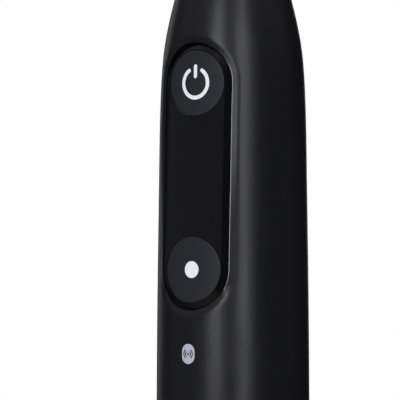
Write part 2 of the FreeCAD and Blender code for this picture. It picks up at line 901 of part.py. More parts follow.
def head_solid(inset, top):
    side = head_curve(inset)
    low, high = side.StartPoint, side.EndPoint
    upper = Vector(high.x, 0, top)
    edges = [line(Vector(0, 0, low.z), low), side.toShape(), line(high, upper),
             line(upper, Vector(0, 0, top)), line(Vector(0, 0, top), Vector(0, 0, low.z))]
    return turned(edges)


def head_tube():
    outer = head_solid(0.0, disc_height)
    cup = rod_back(cup_radius, -cup_front, cup_back, 0, disc_height)
    back_edges = [e for e in cup.Edges if isinstance(e.Curve, Part.Circle)
                  and e.Curve.Center.y > 0]
    cup = cup.makeFillet(cup_round, back_edges)
    inner = head_solid(head_wall, disc_height)
    room = rod_back(cup_radius - cup_wall, -cup_front, cup_back - cup_back_wall, 0, disc_height)
    ring = rod_up(far, head_foot, head_foot + id_ring_height)
    front = block(-far, far, -far, -cup_front, disc_height - cup_radius - cup_front_reach,
                  disc_height + far)
    tube = outer.fuse(cup).cut(inner).cut(room).cut(front)
    tube = tube.cut(rod_back(axle_radius + contact_gap, -cup_front, cup_back - axle_back_cover, 0,
                             disc_height))
    return tube.cut(ring).removeSplitter()


def id_ring():
    ring = head_solid(0.0, disc_height).cut(head_solid(head_wall, disc_height))
    return ring.common(rod_up(far, head_foot, head_foot + id_ring_height - id_ring_gap))


def head_insert():
    low, high = head_foot + insert_inset, head_foot + insert_height
    outer = head_solid(head_wall + contact_gap, disc_height).common(rod_up(far, low, high))
    bore = rod_up(nose_radius + insert_gap, low, high)
    flats = block(-nose_flat - insert_gap, nose_flat + insert_gap, -far, far, low, high)
    return outer.cut(bore.common(flats))


def axle_pin():
    return rod_back(axle_radius, -disc_face + axle_front_cover + axle_front_play,
                    cup_back - axle_back_cover - axle_back_play, 0, disc_height)


disc_back = cup_front + disc_air
disc_face = disc_back + disc_thickness
crank_back = disc_back - crank_plate_thickness


def bristle_disc():
    disc = rod_back(disc_radius, -disc_face, -disc_back, 0, disc_height)
    rim = [e for e in disc.Edges if isinstance(e.Curve, Part.Circle)
           and e.Curve.Center.y < -disc_back - 0.1]
    disc = disc.makeFillet(disc_edge, rim)
    crank = rod_back(hub_radius, -disc_back, -crank_back, 0, disc_height)
    arm = block(0, crank_radius + crank_pin_radius + crank_pin_cover, -disc_back, -crank_back,
                disc_height - crank_arm_half_height, disc_height + crank_arm_half_height)
    disc = disc.fuse([crank, arm])
    disc = disc.cut(rod_back(axle_radius + shaft_gap, -disc_face + axle_front_cover, 0, 0,
                             disc_height))
    half = crank_pin_radius + crank_pin_gap
    slot = block(crank_radius - crank_pin_slide, crank_radius + crank_pin_slide,
                 -disc_back - crank_slot_depth, 0, disc_height - half, disc_height + half)
    ends = [rod_back(half, -disc_back - crank_slot_depth, 0, crank_radius + side * crank_pin_slide,
                     disc_height) for side in (-1, 1)]
    return disc.cut(slot.fuse(ends)).removeSplitter()


def tufts(count, circle, offset_turn):
    solids = []
    for i in range(count):
        turn = 2 * math.pi * (i + offset_turn) / count
        x, z = circle * math.cos(turn), disc_height + circle * math.sin(turn)
        solids.append(rod_back(tuft_radius, -disc_face - tuft_length, -disc_face, x, z))
    return Part.makeCompound(solids)


def push_rod():
    outer = shaft_radius + shaft_gap + rod_socket_wall
    socket = rod_up(outer, rod_foot, rod_socket_top + rod_socket_cap)
    socket = socket.cut(rod_up(shaft_radius + shaft_gap, rod_foot, rod_socket_top))
    elbow = disc_height - rod_elbow_drop
    stem = block(-rod_half_width, rod_half_width, -rod_half_depth, rod_half_depth,
                 rod_socket_top, elbow + rod_elbow_height)
    reach = crank_radius + crank_pin_radius + rod_pin_margin
    shelf = block(-rod_half_width, reach, -rod_half_depth, rod_half_depth, elbow,
                  elbow + rod_elbow_height)
    upright = block(axle_radius + rod_axle_air, reach, -rod_half_depth, rod_half_depth, elbow,
                    disc_height + rod_pin_rise)
    pin = rod_back(crank_pin_radius, -disc_back + rod_pin_end_gap, rod_half_depth, crank_radius,
                   disc_height)
    return socket.fuse([stem, shelf, upright, pin]).removeSplitter()


def rod_clip():
    inner = shaft_radius + shaft_gap + rod_socket_wall + clip_gap
    low = rod_foot + clip_rise
    ring = tube_up(inner + clip_wall, inner, low, low + clip_height)
    return ring.cut(block(-clip_half_split, clip_half_split, 0, far, low, low + clip_height))


# ---- charger -------------------------------------------------------------------------------
charger_top_inner = charger_height - charger_wall
board_low = charger_floor + base_plate_thickness + charger_board_rise
dish_radius = foot_radius + dish_gap


def screw_places():
    x, y = charger_width / 2 - screw_inset, charger_depth / 2 - screw_inset - screw_row_shift
    return [(side_x * x, side_y * y) for side_x in (-1, 1) for side_y in (-1, 1)]


def edge_rounded(width, depth, corner, low, high, edge):
    slab = rounded_slab(width, depth, corner, low, high)
    top = [e for e in slab.Edges if min(v.Z for v in e.Vertexes) > high - 1e-6]
    return slab.makeFillet(edge, top)


def charger_shell():
    low = charger_floor
    body = edge_rounded(charger_width, charger_depth, charger_corner, low, charger_height,
                        charger_edge)
    body = body.cut(rod_up(dish_radius, seat, far))
    peg = rod_up(peg_radius, low, seat + peg_height)
    rim = [e for e in peg.Edges if isinstance(e.Curve, Part.Circle)
           and e.Curve.Center.z > seat]
    body = body.fuse(peg.makeFillet(peg_round, rim))
    w = 2 * charger_wall
    room = edge_rounded(charger_width - w, charger_depth - w, charger_corner - charger_wall,
                        low - 1, charger_top_inner, charger_edge - charger_wall)
    room = room.cut(rod_up(dish_radius + charger_wall, seat - charger_wall, far))
    bosses = [rod_up(screw_boss_radius, low + base_plate_thickness, far / 2, x, y)
              for x, y in screw_places()]
    room = room.cut(bosses)
    bore = rod_up(peg_radius - peg_wall, low - 1, seat + peg_height - peg_top_wall)
    body = body.cut(room).cut(bore)
    for x, y in screw_places():
        body = body.cut(rod_up(screw_shank_radius, low, low + screw_length, x, y))
    hole = rod_back(gland_radius, 0, far, 0, gland_z)
    return body.cut(hole.cut(block(-far, far, -1, charger_depth / 2 - gland_pocket, 0,
                              far)))


def charger_base():
    w = 2 * (charger_wall + base_plate_gap)
    low = charger_floor
    plate = rounded_slab(charger_width - w, charger_depth - w,
                         charger_corner - charger_wall - base_plate_gap, low,
                         low + base_plate_thickness)
    for x, y in screw_places():
        plate = plate.cut(rod_up(screw_shank_radius + screw_hole_gap, low, far, x, y))
        plate = plate.cut(rod_up(screw_head_radius + screw_hole_gap, low, low + screw_head_height,
                                 x, y))
    for x, y in board_posts():
        plate = plate.fuse(rod_up(board_post_radius, low, board_low, x, y))
    return plate.removeSplitter()


def board_posts():
    x = charger_board_width / 2 - board_post_inset
    y = charger_board_depth / 2 - board_post_inset
    return [(side_x * x, side_y * y) for side_x in (-1, 1) for side_y in (-1, 1)]


def foot_pad():
    w = 2 * foot_pad_inset
    return rounded_slab(charger_width - w, charger_depth - w, charger_corner - foot_pad_inset,
                        0, foot_pad_thickness)


def charger_screws():
    screws = []
    for x, y in screw_places():
        low = charger_floor + 0.1
        head = rod_up(screw_head_radius, low, low + screw_head_height - 0.1, x, y)
        head = head.cut(block(x - screw_slot_half_length, x + screw_slot_half_length,
                              y - screw_slot_half_width, y + screw_slot_half_width, low,
                              low + screw_slot_depth))
        shank = rod_up(screw_shank_radius - 0.01, low + screw_head_height - 0.1,
                       charger_floor + screw_length - 0.5, x, y)
        screws.append(head.fuse(shank).removeSplitter())
    return Part.makeCompound(screws)


coil_top = seat + peg_height - peg_top_wall - core_top_gap


def charger_core():
    return rod_up(core_radius, board_low + board_thickness, coil_top)


def charger_coil():
    outer = peg_radius - peg_wall - coil_wire_gap
    return tube_up(outer, core_radius + charger_coil_bore_gap, seat - charger_coil_drop,
                   coil_top - charger_coil_top_gap)


def charger_board():
    half_x, half_y = charger_board_width / 2, charger_board_depth / 2
    return block(-half_x, half_x, -half_y, half_y, board_low, board_low + board_thickness)


def charger_parts():
    low = board_low + board_thickness
    ceiling = seat - charger_wall - hold_magnet_thickness - charger_part_air - low
    x, y = charger_board_width / 2 - 5.5, charger_board_depth / 2 - 6
    height = min(charger_part_height, charger_top_inner - low - 1.5)
    parts = [rod_up(3.0, low, low + min(height, ceiling), -x, -y),
             rod_up(2.4, low, low + min(height, ceiling), x, -y),
             block(-x - 3, -x + 3, y - 4, y + 4, low, low + min(4.0, ceiling)),
             block(x - 3, x + 2.5, y - 3, y + 3, low, low + min(2.6, ceiling))]
    return Part.makeCompound(parts)


def hold_magnet():
    high = seat - charger_wall - hold_magnet_gap
    return tube_up(hold_magnet_outer, hold_magnet_inner, high - hold_magnet_thickness, high)


gland_z = charger_floor + gland_height


def cord_gland():
    back = charger_depth / 2
    front = back - charger_wall - gland_flange - gland_flange_reach
    body = rod_back(gland_radius - gland_side_gap, front, back - gland_back_gap, 0, gland_z)
    flange = rod_back(gland_radius + gland_flange_reach, front - gland_flange,
                      back - charger_wall - gland_wall_gap, 0, gland_z)
    inner = charger_depth / 2 - charger_wall - gland_side_gap
    flange = flange.common(block(-far, far, 0, inner, 0, far))
    body = body.fuse(flange)
    return body.cut(rod_back(gland_bore, 0, far, 0, gland_z)).removeSplitter()


nodes = {
    "charger_shell": charger_shell, "charger_base": charger_base, "foot_pad": foot_pad,
    "charger_screws": charger_screws, "charger_core": charger_core,
    "charger_coil": charger_coil, "charger_board": charger_board,
    "charger_parts": charger_parts, "hold_magnet": hold_magnet, "cord_gland": cord_gland,
    "handle_shell": handle_shell, "wireless_badge": wireless_badge,
    "control_lens": control_lens, "lens_gasket": lens_gasket, "stem_seals": stem_seals,
    "light_guide": light_guide, "key_board": key_board, "key_switches": key_switches,
    "mode_lamps": mode_lamps, "base_cap": base_cap, "base_seal": base_seal,
    "keeper_ring": keeper_ring, "charge_coil": charge_coil, "coil_bobbin": coil_bobbin,
    "battery": battery, "battery_tabs": battery_tabs, "chassis": chassis,
    "main_board": main_board, "board_chips": board_chips, "motor_frame": motor_frame,
    "end_plates": end_plates, "leaf_springs": leaf_springs, "stator_cores": stator_cores,
    "stator_coils": stator_coils, "light_ring": light_ring, "nose_cap": nose_cap,
    "shaft_bush": shaft_bush, "shaft_seal": shaft_seal, "ring_board": ring_board,
    "power_button": power_button, "power_icon": power_icon,
    "power_plunger": lambda: plunger(upper_key_z),
    "mode_button": mode_button, "mode_dot": mode_dot,
    "mode_plunger": lambda: plunger(lower_key_z),
    "drive_shaft": drive_shaft, "yoke": yoke, "yoke_magnets": yoke_magnets,
    "head_tube": head_tube, "id_ring": id_ring, "head_insert": head_insert,
    "axle_pin": axle_pin, "push_rod": push_rod, "rod_clip": rod_clip,
    "bristle_disc": bristle_disc,
    "outer_bristles": lambda: tufts(outer_tufts, outer_tuft_circle, 0.0),
    "middle_bristles": lambda: tufts(middle_tufts, middle_tuft_circle, 0.5),
    "centre_bristles": lambda: tufts(centre_tufts, centre_tuft_circle, 0.0),
}

os.makedirs("parts", exist_ok=True)
for name, make in nodes.items():
    shape = make()
    if not shape.isValid() or shape.Volume <= 0:
        raise ValueError(name + " isn't a valid solid")
    shape.exportStep("parts/" + name + ".step")
    print(name, len(shape.Solids), round(shape.Volume, 2))
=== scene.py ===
import bpy
import bmesh
import math
import numpy as np
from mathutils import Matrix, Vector


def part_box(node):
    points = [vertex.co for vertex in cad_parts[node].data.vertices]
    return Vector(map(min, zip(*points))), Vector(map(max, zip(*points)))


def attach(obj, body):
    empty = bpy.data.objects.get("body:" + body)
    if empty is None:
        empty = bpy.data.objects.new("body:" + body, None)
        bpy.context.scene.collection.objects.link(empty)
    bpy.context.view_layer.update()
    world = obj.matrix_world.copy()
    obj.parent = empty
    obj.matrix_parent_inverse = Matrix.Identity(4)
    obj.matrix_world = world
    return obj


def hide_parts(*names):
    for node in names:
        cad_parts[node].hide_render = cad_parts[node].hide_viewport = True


# Electric toothbrush on its charger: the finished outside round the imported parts.
# Surfaces are worked out in millimetres and go into metres in meshFrom.
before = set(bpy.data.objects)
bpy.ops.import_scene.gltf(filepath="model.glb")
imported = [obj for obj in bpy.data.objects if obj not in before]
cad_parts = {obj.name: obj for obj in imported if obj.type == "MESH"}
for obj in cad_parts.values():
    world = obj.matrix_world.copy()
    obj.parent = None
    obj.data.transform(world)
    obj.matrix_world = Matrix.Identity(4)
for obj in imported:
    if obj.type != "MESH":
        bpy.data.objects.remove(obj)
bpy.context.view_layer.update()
mm = 0.001


def boxOf(node):  # a CAD node's low and high corners, in millimetres
    low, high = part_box(node)
    return np.array(low) / mm, np.array(high) / mm


shellLow, shellHigh = boxOf("handle_shell")
footZ, neckZ = shellLow[2], shellHigh[2]
upperKeyZ = np.mean([box[2] for box in boxOf("power_button")])
lowerKeyZ = np.mean([box[2] for box in boxOf("mode_button")])
badgeZ = np.mean([box[2] for box in boxOf("wireless_badge")])
discZ = np.mean([box[2] for box in boxOf("bristle_disc")])
panelZ = (upperKeyZ + lowerKeyZ) / 2
halfSpan = (upperKeyZ - lowerKeyZ) / 2


def inScene(name, data):
    thing = bpy.data.objects.new(name, data)
    bpy.context.scene.collection.objects.link(thing)
    return thing


def weld(mesh, reach, thin=None):
    # joins points that meet, drops slivers and turns every face outward
    work = bmesh.new()
    work.from_mesh(mesh)
    bmesh.ops.remove_doubles(work, verts=work.verts, dist=reach * mm)
    if thin:
        bmesh.ops.dissolve_degenerate(work, edges=work.edges, dist=thin * mm)
    bmesh.ops.recalc_face_normals(work, faces=work.faces)
    work.to_mesh(mesh)
    work.free()
    mesh.shade_smooth()


def meshFrom(name, grids, sharp=35):
    # each grid is (points, wraps): rows by columns of points, joined into quads
    spots, quads, start = [], [], 0
    for points, wraps in grids:
        rows, columns = points.shape[:2]
        index = np.arange(rows * columns).reshape(rows, columns) + start
        if wraps:
            index = np.hstack([index, index[:, :1]])
        corners = [index[:-1, :-1], index[:-1, 1:], index[1:, 1:], index[1:, :-1]]
        quads.append(np.stack(corners, -1).reshape(-1, 4))
        spots.append(points.reshape(-1, 3))
        start += rows * columns
    mesh = bpy.data.meshes.new(name)
    mesh.from_pydata(np.concatenate(spots) * mm, [], np.concatenate(quads))
    weld(mesh, 0.002, 0.001)
    mesh.set_sharp_from_angle(angle=math.radians(sharp))
    return mesh


def addPiece(name, mesh, material, body, replaced=()):
    piece = inScene(name, mesh)
    mesh.materials.clear()
    mesh.materials.append(material)
    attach(piece, body)
    if replaced:
        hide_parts(*replaced)
    return piece


def splineThrough(places, values):
    # natural cubic spline: second slopes solved so that value, slope and bend all join up
    places, values = np.asarray(places, float), np.asarray(values, float)
    gaps, rises = np.diff(places), np.diff(values)
    count = len(places)
    system, right = np.eye(count), np.zeros(count)
    inner = np.arange(1, count - 1)
    system[inner, inner - 1] = gaps[:-1]
    system[inner, inner] = 2 * (gaps[:-1] + gaps[1:])
    system[inner, inner + 1] = gaps[1:]
    right[inner] = 6 * (rises[1:] / gaps[1:] - rises[:-1] / gaps[:-1])
    bend = np.linalg.solve(system, right)

    def at(place):
        place = np.asarray(place, float)
        span = np.clip(np.searchsorted(places, place) - 1, 0, count - 2)
        after, before, gap = place - places[span], places[span + 1] - place, gaps[span]
        return ((bend[span] * before ** 3 + bend[span + 1] * after ** 3) / (6 * gap)
                + (values[span] / gap - bend[span] * gap / 6) * before
                + (values[span + 1] / gap - bend[span + 1] * gap / 6) * after)
    return at


def turned(profile, axis="z", centre=(0, 0, 0), steps=96):
    # a profile of (radius, height) carried round an axis
    profile = np.asarray(profile, float)
    turn = np.linspace(0, 2 * np.pi, steps, endpoint=False)
    radius, height = profile[:, :1], profile[:, 1:]
    across, over = radius * np.cos(turn), radius * np.sin(turn)
    along = height * np.ones_like(turn)
    order = {"z": (across, over, along), "y": (across, along, -over)}[axis]
    return np.stack(order, -1) + np.asarray(centre, float), True


def rounded(corners, radius, steps=6):
    # an outline of (radius, height) corners with each inner corner turned into a small arc
    corners = np.asarray(corners, float)
    radii = np.broadcast_to(radius, len(corners))
    out = [corners[:1]]
    for before, here, after, size in zip(corners[:-2], corners[1:-1], corners[2:], radii[1:-1]):
        back, ahead = before - here, after - here
        backLength, aheadLength = np.hypot(*back), np.hypot(*ahead)
        reach = min(size, backLength * 0.49, aheadLength * 0.49)
        share = np.linspace(0, 1, steps)[:, None]
        first, last = here + back / backLength * reach, here + ahead / aheadLength * reach
        out.append((1 - share) ** 2 * first + 2 * share * (1 - share) * here + share ** 2 * last)
    return np.concatenate(out + [corners[-1:]])


def arc(centre, radius, start, end, steps):
    turn = np.radians(np.linspace(start, end, steps))
    return np.stack([centre[0] + radius * np.cos(turn), centre[1] + radius * np.sin(turn)], -1)


def smoothMax(first, second, size):
    # the larger of two, with the crossing rounded over a band of that size
    share = np.clip(0.5 + 0.5 * (first - second) / size, 0, 1)
    return second + (first - second) * share + size * share * (1 - share)


# materials
class Value:
    # a shader socket that takes part in sums; each operator adds one Math node
    def __init__(self, shader, socket):
        self.shader, self.socket = shader, socket

    def sum(self, kind, *others):
        return self.shader.node("ShaderNodeMath", {"operation": kind}, [self, *others])

    def __add__(self, other): return self.sum("ADD", other)
    def __radd__(self, other): return self.sum("ADD", other)
    def __sub__(self, other): return self.sum("SUBTRACT", other)
    def __rsub__(self, other):
        return self.shader.node("ShaderNodeMath", {"operation": "SUBTRACT"}, [other, self])

    def __mul__(self, other): return self.sum("MULTIPLY", other)
    def __rmul__(self, other): return self.sum("MULTIPLY", other)
    def __truediv__(self, other): return self.sum("DIVIDE", other)


class NodeTree:
    # any node tree: one way to add a node and join its sockets
    def __init__(self, tree):
        self.tree = tree

    def node(self, kind, settings=None, sockets=(), output=0):
        made = self.tree.nodes.new(kind)
        for key, value in (settings or {}).items():
            setattr(made, key, value)
        pairs = sockets.items() if isinstance(sockets, dict) else enumerate(sockets)
        for key, value in pairs:
            if isinstance(value, Value):
                self.tree.links.new(value.socket, made.inputs[key])
            else:
                made.inputs[key].default_value = value
        return Value(self, made.outputs[output]) if output is not None else made

    def ramp(self, value, low, high):
        # 0 below low, 1 above high, smooth between
        return self.node("ShaderNodeMapRange", {"interpolation_type": "SMOOTHSTEP"},
                         {"Value": value, "From Min": low, "From Max": high})


class Shader(NodeTree):
    # one material with a Principled surface
    def __init__(self, name):
        self.material = bpy.data.materials.new(name)
        self.material.use_nodes = True
        super().__init__(self.material.node_tree)
        self.surface = self.tree.nodes["Principled BSDF"]
        self.place = self.node("ShaderNodeTexCoord", output="Object")

    def feed(self, name, value):
        if isinstance(value, Value):
            self.tree.links.new(value.socket, self.surface.inputs[name])
        else:
            self.surface.inputs[name].default_value = value

    def noise(self, scale, detail=2.0, rough=0.5, stretch=(1, 1, 1)):
        place = self.place
        if stretch != (1, 1, 1):
            place = self.node("ShaderNodeMapping", sockets={"Vector": self.place, "Scale": stretch})
        return self.node("ShaderNodeTexNoise", sockets={"Vector": place, "Scale": scale,
                                                        "Detail": detail, "Roughness": rough})

    def blend(self, share, first, second):
        return self.node("ShaderNodeMix", {"data_type": "RGBA"},
                         {"Factor": share, 6: first, 7: second}, output=2)

    def axis(self, letter):
        return self.node("ShaderNodeSeparateXYZ", sockets=[self.place], output=letter)

    def bump(self, height, strength, depth):
        self.feed("Normal", self.node("ShaderNodeBump", sockets={
            "Height": height, "Strength": strength, "Distance": depth * mm}))


def rgb(red, green, blue):
    return (red, green, blue, 1.0)


def mouldedPlastic(name, dark, light, rough, grain, depth, wipe=0.05):
    # fine spark-eroded grain, faint cloudy colour and finger-wiped patches of gloss
    shader = Shader(name)
    fine = shader.noise(1 / (grain * mm), 3.0, 0.6)
    cloud = shader.noise(1 / (9 * mm), 3.0, 0.55)
    smear = shader.ramp(shader.noise(1 / (14 * mm), 2.0, 0.5, (1.0, 1.0, 0.45)), 0.42, 0.68)
    shader.feed("Base Color", shader.blend(cloud * 0.7 + fine * 0.3, dark, light))
    shader.feed("Roughness", rough + (fine - 0.5) * 0.06 - smear * wipe)
    shader.bump(fine, 0.5, depth)
    return shader.material


def glossPlastic(name, dark, light, rough):
    # polished moulding: broad ripple too weak to see but for its reflections, dust and hair lines
    shader = Shader(name)
    ripple = shader.noise(1 / (6 * mm), 2.0, 0.4)
    hair = shader.ramp(shader.noise(1 / (0.5 * mm), 2.0, 0.7, (1.0, 1.0, 0.06)), 0.66, 0.74)
    dust = shader.ramp(shader.noise(1 / (0.35 * mm), 1.0), 0.74, 0.8)
    shader.feed("Base Color", shader.blend(shader.noise(1 / (11 * mm)), dark, light))
    shader.feed("Roughness", rough + ripple * 0.03 + hair * 0.05 + dust * 0.2)
    shader.bump(ripple, 0.12, 0.01)
    return shader.material


def inlayPlastic(name, dark, light, glow):
    # milky translucent inlay with a painted glow: an emission of its own colour that brightens it evenly, as
    # light from behind would
    shader = Shader(name)
    speck = shader.noise(1 / (0.4 * mm), 2.0)
    colour = shader.blend(speck, dark, light)
    shader.feed("Base Color", colour)
    # painted glow: the inlay's colour given off as light, though it is no lamp
    shader.feed("Emission Color", colour)
    shader.feed("Emission Strength", glow)
    shader.feed("Roughness", 0.38 + speck * 0.1)
    shader.bump(speck, 0.2, 0.006)
    return shader.material


def softRubber(name, dark, light, rough=0.62):
    # matt rubber with fine pores and patches of dust
    shader = Shader(name)
    pore = shader.noise(1 / (0.25 * mm), 4.0, 0.65)
    dust = shader.ramp(shader.noise(1 / (3 * mm), 4.0, 0.7), 0.5, 0.8)
    shader.feed("Base Color", shader.blend(dust * 0.6 + pore * 0.2, dark, light))
    shader.feed("Roughness", rough + pore * 0.15)
    shader.bump(pore, 0.5, 0.03)
    return shader.material


def drawnMetal(name, dark, light, rough, stretch, scale=0.08):
    # metal with fine drawing or grinding lines along one axis
    shader = Shader(name)
    lines = shader.noise(1 / (scale * mm), 3.0, 0.6, stretch)
    stain = shader.noise(1 / (5 * mm), 3.0, 0.6)
    shader.feed("Base Color", shader.blend(lines * 0.5 + stain * 0.5, dark, light))
    shader.feed("Metallic", 1.0)
    shader.feed("Roughness", rough + lines * 0.14 + stain * 0.08)
    shader.bump(lines, 0.25, 0.006)
    return shader.material


def woundCopper(name):
    # enamelled wire: turns stacked along the axis, each with its own tone
    pitch = 0.24
    shader = Shader(name)
    turns = shader.node("ShaderNodeTexWave", {"wave_type": "BANDS", "bands_direction": "Z"},
                        {"Vector": shader.place, "Scale": 1 / (3.2 * pitch * mm), "Distortion": 0.35,
                         "Detail": 1.0, "Detail Scale": 2.0}, "Fac")
    tone = shader.noise(1 / (0.7 * mm), 2.0, 0.5, (0.2, 0.2, 1.0))
    shader.feed("Base Color", shader.blend(turns * 0.5 + tone * 0.5, rgb(0.2, 0.05, 0.018),
                                           rgb(0.72, 0.27, 0.1)))
    shader.feed("Metallic", 0.85)
    shader.feed("Roughness", 0.24 + tone * 0.16)
    shader.bump(turns, 0.8, 0.05)
    return shader.material


def circuitBoard(name):
    # solder mask over copper tracks, with tinned pads
    shader = Shader(name)
    tracks = shader.node("ShaderNodeTexBrick", {"offset": 0.5, "squash": 0.6}, {
        "Vector": shader.node("ShaderNodeMapping", sockets={
            "Vector": shader.place, "Rotation": (math.pi / 2, 0, 0)}),
        "Scale": 1 / (5 * mm), "Mortar Size": 0.04, "Mortar Smooth": 0.2}, "Fac")
    pads = shader.ramp(shader.node("ShaderNodeTexVoronoi", {"distance": "CHEBYCHEV"}, {
        "Vector": shader.place, "Scale": 1 / (2.4 * mm), "Randomness": 0.6}, "Distance"), 0.16, 0.12)
    weave = shader.noise(1 / (0.3 * mm), 2.0)
    mask = shader.blend(tracks * 0.7 + weave * 0.3, rgb(0.004, 0.05, 0.022), rgb(0.02, 0.17, 0.075))
    shader.feed("Base Color", shader.blend(pads, mask, rgb(0.72, 0.7, 0.62)))
    shader.feed("Metallic", pads * 0.9)
    shader.feed("Roughness", 0.3 + weave * 0.12)
    shader.bump(tracks + pads, 0.4, 0.03)
    return shader.material


def nylonBristle(name, root, tip, rootY, tipY):
    # nylon filament, darker towards the root and paler towards the tip: painted shade deep in the tuft, where
    # the filaments shade each other
    shader = Shader(name)
    # painted shade: the colour runs from the darker root to the paler tip
    along = shader.ramp(shader.axis("Y"), rootY * mm, tipY * mm)
    tone = shader.noise(1 / (0.3 * mm), 1.0, 0.5, (1.0, 0.05, 1.0))
    shader.feed("Base Color", shader.blend(along * 0.75 + tone * 0.25, root, tip))
    shader.feed("Roughness", 0.32 + tone * 0.12)
    return shader.material


materials = {
    "housing": mouldedPlastic("housingBlack", rgb(0.0056, 0.0057, 0.0062), rgb(0.0080, 0.0081, 0.0088),
                              0.35, 0.22, 0.045, 0.03),
    "bevel": mouldedPlastic("noseBlack", rgb(0.0058, 0.0059, 0.0064), rgb(0.0084, 0.0085, 0.0092),
                            0.36, 0.11, 0.014, 0.03),
    "lens": glossPlastic("panelBlack", rgb(0.0026, 0.0026, 0.0029), rgb(0.0034, 0.0034, 0.0038), 0.11),
    "trim": glossPlastic("trimBlack", rgb(0.006, 0.006, 0.0065), rgb(0.008, 0.008, 0.0085), 0.17),
    "key": mouldedPlastic("keyBlack", rgb(0.0158, 0.0167, 0.0205), rgb(0.0205, 0.0216, 0.0262),
                          0.52, 0.1, 0.008, 0.03),
    # the last number of each inlay material is its painted glow: emission that brightens it though it is no
    # lamp
    "icon": inlayPlastic("inlayWhite", rgb(0.775, 0.778, 0.788), rgb(0.855, 0.859, 0.87), 0.3),
    "badge": inlayPlastic("badgeGrey", rgb(0.5, 0.52, 0.6), rgb(0.6, 0.62, 0.7), 0.08),
    "badgeInk": glossPlastic("badgeInk", rgb(0.012, 0.012, 0.014), rgb(0.018, 0.018, 0.02), 0.4),
    "ring": inlayPlastic("ringFrost", rgb(0.62, 0.66, 0.72), rgb(0.78, 0.81, 0.86), 0.04),
    "charger": mouldedPlastic("chargerBlack", rgb(0.0075, 0.0077, 0.0088), rgb(0.011, 0.0113, 0.0126),
                              0.42, 0.16, 0.014, 0.05),
    "pad": softRubber("padRubber", rgb(0.016, 0.016, 0.017), rgb(0.05, 0.049, 0.047)),
    "seal": softRubber("sealRubber", rgb(0.06, 0.062, 0.066), rgb(0.12, 0.12, 0.125), 0.5),
    "board": circuitBoard("boardGreen"),
    "chip": mouldedPlastic("chipBlack", rgb(0.012, 0.012, 0.013), rgb(0.03, 0.03, 0.032), 0.5, 0.2, 0.01),
    "copper": woundCopper("woundCopper"),
    "ferrite": mouldedPlastic("ferriteGrey", rgb(0.03, 0.03, 0.032), rgb(0.07, 0.07, 0.074),
                              0.48, 0.25, 0.02),
    "steel": drawnMetal("stampedSteel", rgb(0.42, 0.43, 0.45), rgb(0.62, 0.62, 0.64), 0.26, (1, 1, 0.05)),
    "shaft": drawnMetal("groundShaft", rgb(0.5, 0.51, 0.53), rgb(0.7, 0.71, 0.73), 0.16, (0.1, 0.1, 1)),
    "magnet": drawnMetal("platedMagnet", rgb(0.5, 0.49, 0.47), rgb(0.66, 0.65, 0.63), 0.14, (1, 1, 1), 0.4),
    "cell": mouldedPlastic("cellWrap", rgb(0.03, 0.09, 0.24), rgb(0.04, 0.13, 0.31), 0.28, 0.8, 0.01),
    "frameGrey": mouldedPlastic("frameGrey", rgb(0.11, 0.12, 0.13), rgb(0.19, 0.2, 0.215), 0.5, 0.22, 0.02),
    "acetal": mouldedPlastic("acetalWhite", rgb(0.6, 0.61, 0.6), rgb(0.74, 0.74, 0.72), 0.38, 0.4, 0.01),
    "head": mouldedPlastic("headWhite", rgb(0.74, 0.75, 0.765), rgb(0.82, 0.825, 0.835), 0.24, 0.5, 0.004),
    "headGrey": mouldedPlastic("headGrey", rgb(0.16, 0.175, 0.19), rgb(0.22, 0.235, 0.25), 0.42, 0.2, 0.01),
}


# the handle's housing: stations are (height above the foot, radius)
handle = {
    "stations": [(1.6, 13.9), (55.0, 14.68), (88.7, 14.47), (107.6, 14.2), (124.0, 13.79),
                 (132.0, 13.05), (137.8, 11.87), (145.0, 10.05), (153.0, 8.25), (162.0, 7.25),
                 (170.0, 6.95)],
    "edge": 1.6, "wall": 1.6, "around": 128, "side": 96,
    "seam": 7.7, "bevel": 1.25, "lip": 0.3, "endLip": 0.4, "lipEdge": 0.05, "rimSoft": 0.16,
    "trim": 0.12, "trimSlope": 0.41, "trimProud": 0.004, "trimThick": 0.06,
    "pocket": 3.1, "boss": 4.1, "bossMargin": 2.0, "reach": 4.2, "beltBelow": 12.0, "beltAbove": 7.0,
}
heights, radii = np.array(handle["stations"]).T
housingRadius = splineThrough(heights + footZ, radii)
panel = {"front": 13.0, "slope": 0.0337, "crown": 29.0}


def bodyY(x, z):  # the housing's front at a point, minus the root of radius squared less x squared
    return -np.sqrt(np.maximum(housingRadius(z) ** 2 - x ** 2, 0.01))


def planeY(z, behind):  # a plane parallel to the panel's leaning front, that far behind it
    return -panel["front"] + panel["slope"] * (z - panelZ) + behind


def panelY(x, z):  # the panel's face: the leaning plane crowned to a large cylinder
    return planeY(z, panel["crown"] - np.sqrt(panel["crown"] ** 2 - x ** 2))


def stadium(offset, halfWidth, around, side):
    # points round an upright slot: right side going up, top arc, left side going down, bottom arc
    reach = halfWidth + np.asarray(offset, float).reshape(-1, 1)
    run = np.linspace(-1, 1, side, endpoint=False)
    turn = np.linspace(0, np.pi, around, endpoint=False)
    one = np.ones_like(reach)
    x = np.hstack([reach * np.ones(side), reach * np.cos(turn),
                   -reach * np.ones(side), -reach * np.cos(turn)])
    z = np.hstack([one * run * halfSpan, halfSpan + reach * np.sin(turn),
                   -one * run * halfSpan, -halfSpan - reach * np.sin(turn)])
    return x, z + panelZ


def seamDepth(x, z):  # just under the panel's face, and never far under the body
    return np.minimum(panelY(x, z) + handle["lip"], bodyY(x, z) + handle["endLip"])


def housingFront(offset, x, z, seamX, seamZ, rimX, rimZ):
    # the deeper of the round body and the straight slope from seam to rim, softly joined
    seamY = seamDepth(seamX, seamZ)
    slope = seamY + (bodyY(rimX, rimZ) - seamY) * offset / handle["bevel"]
    return smoothMax(slope, bodyY(x, z), handle["rimSoft"])


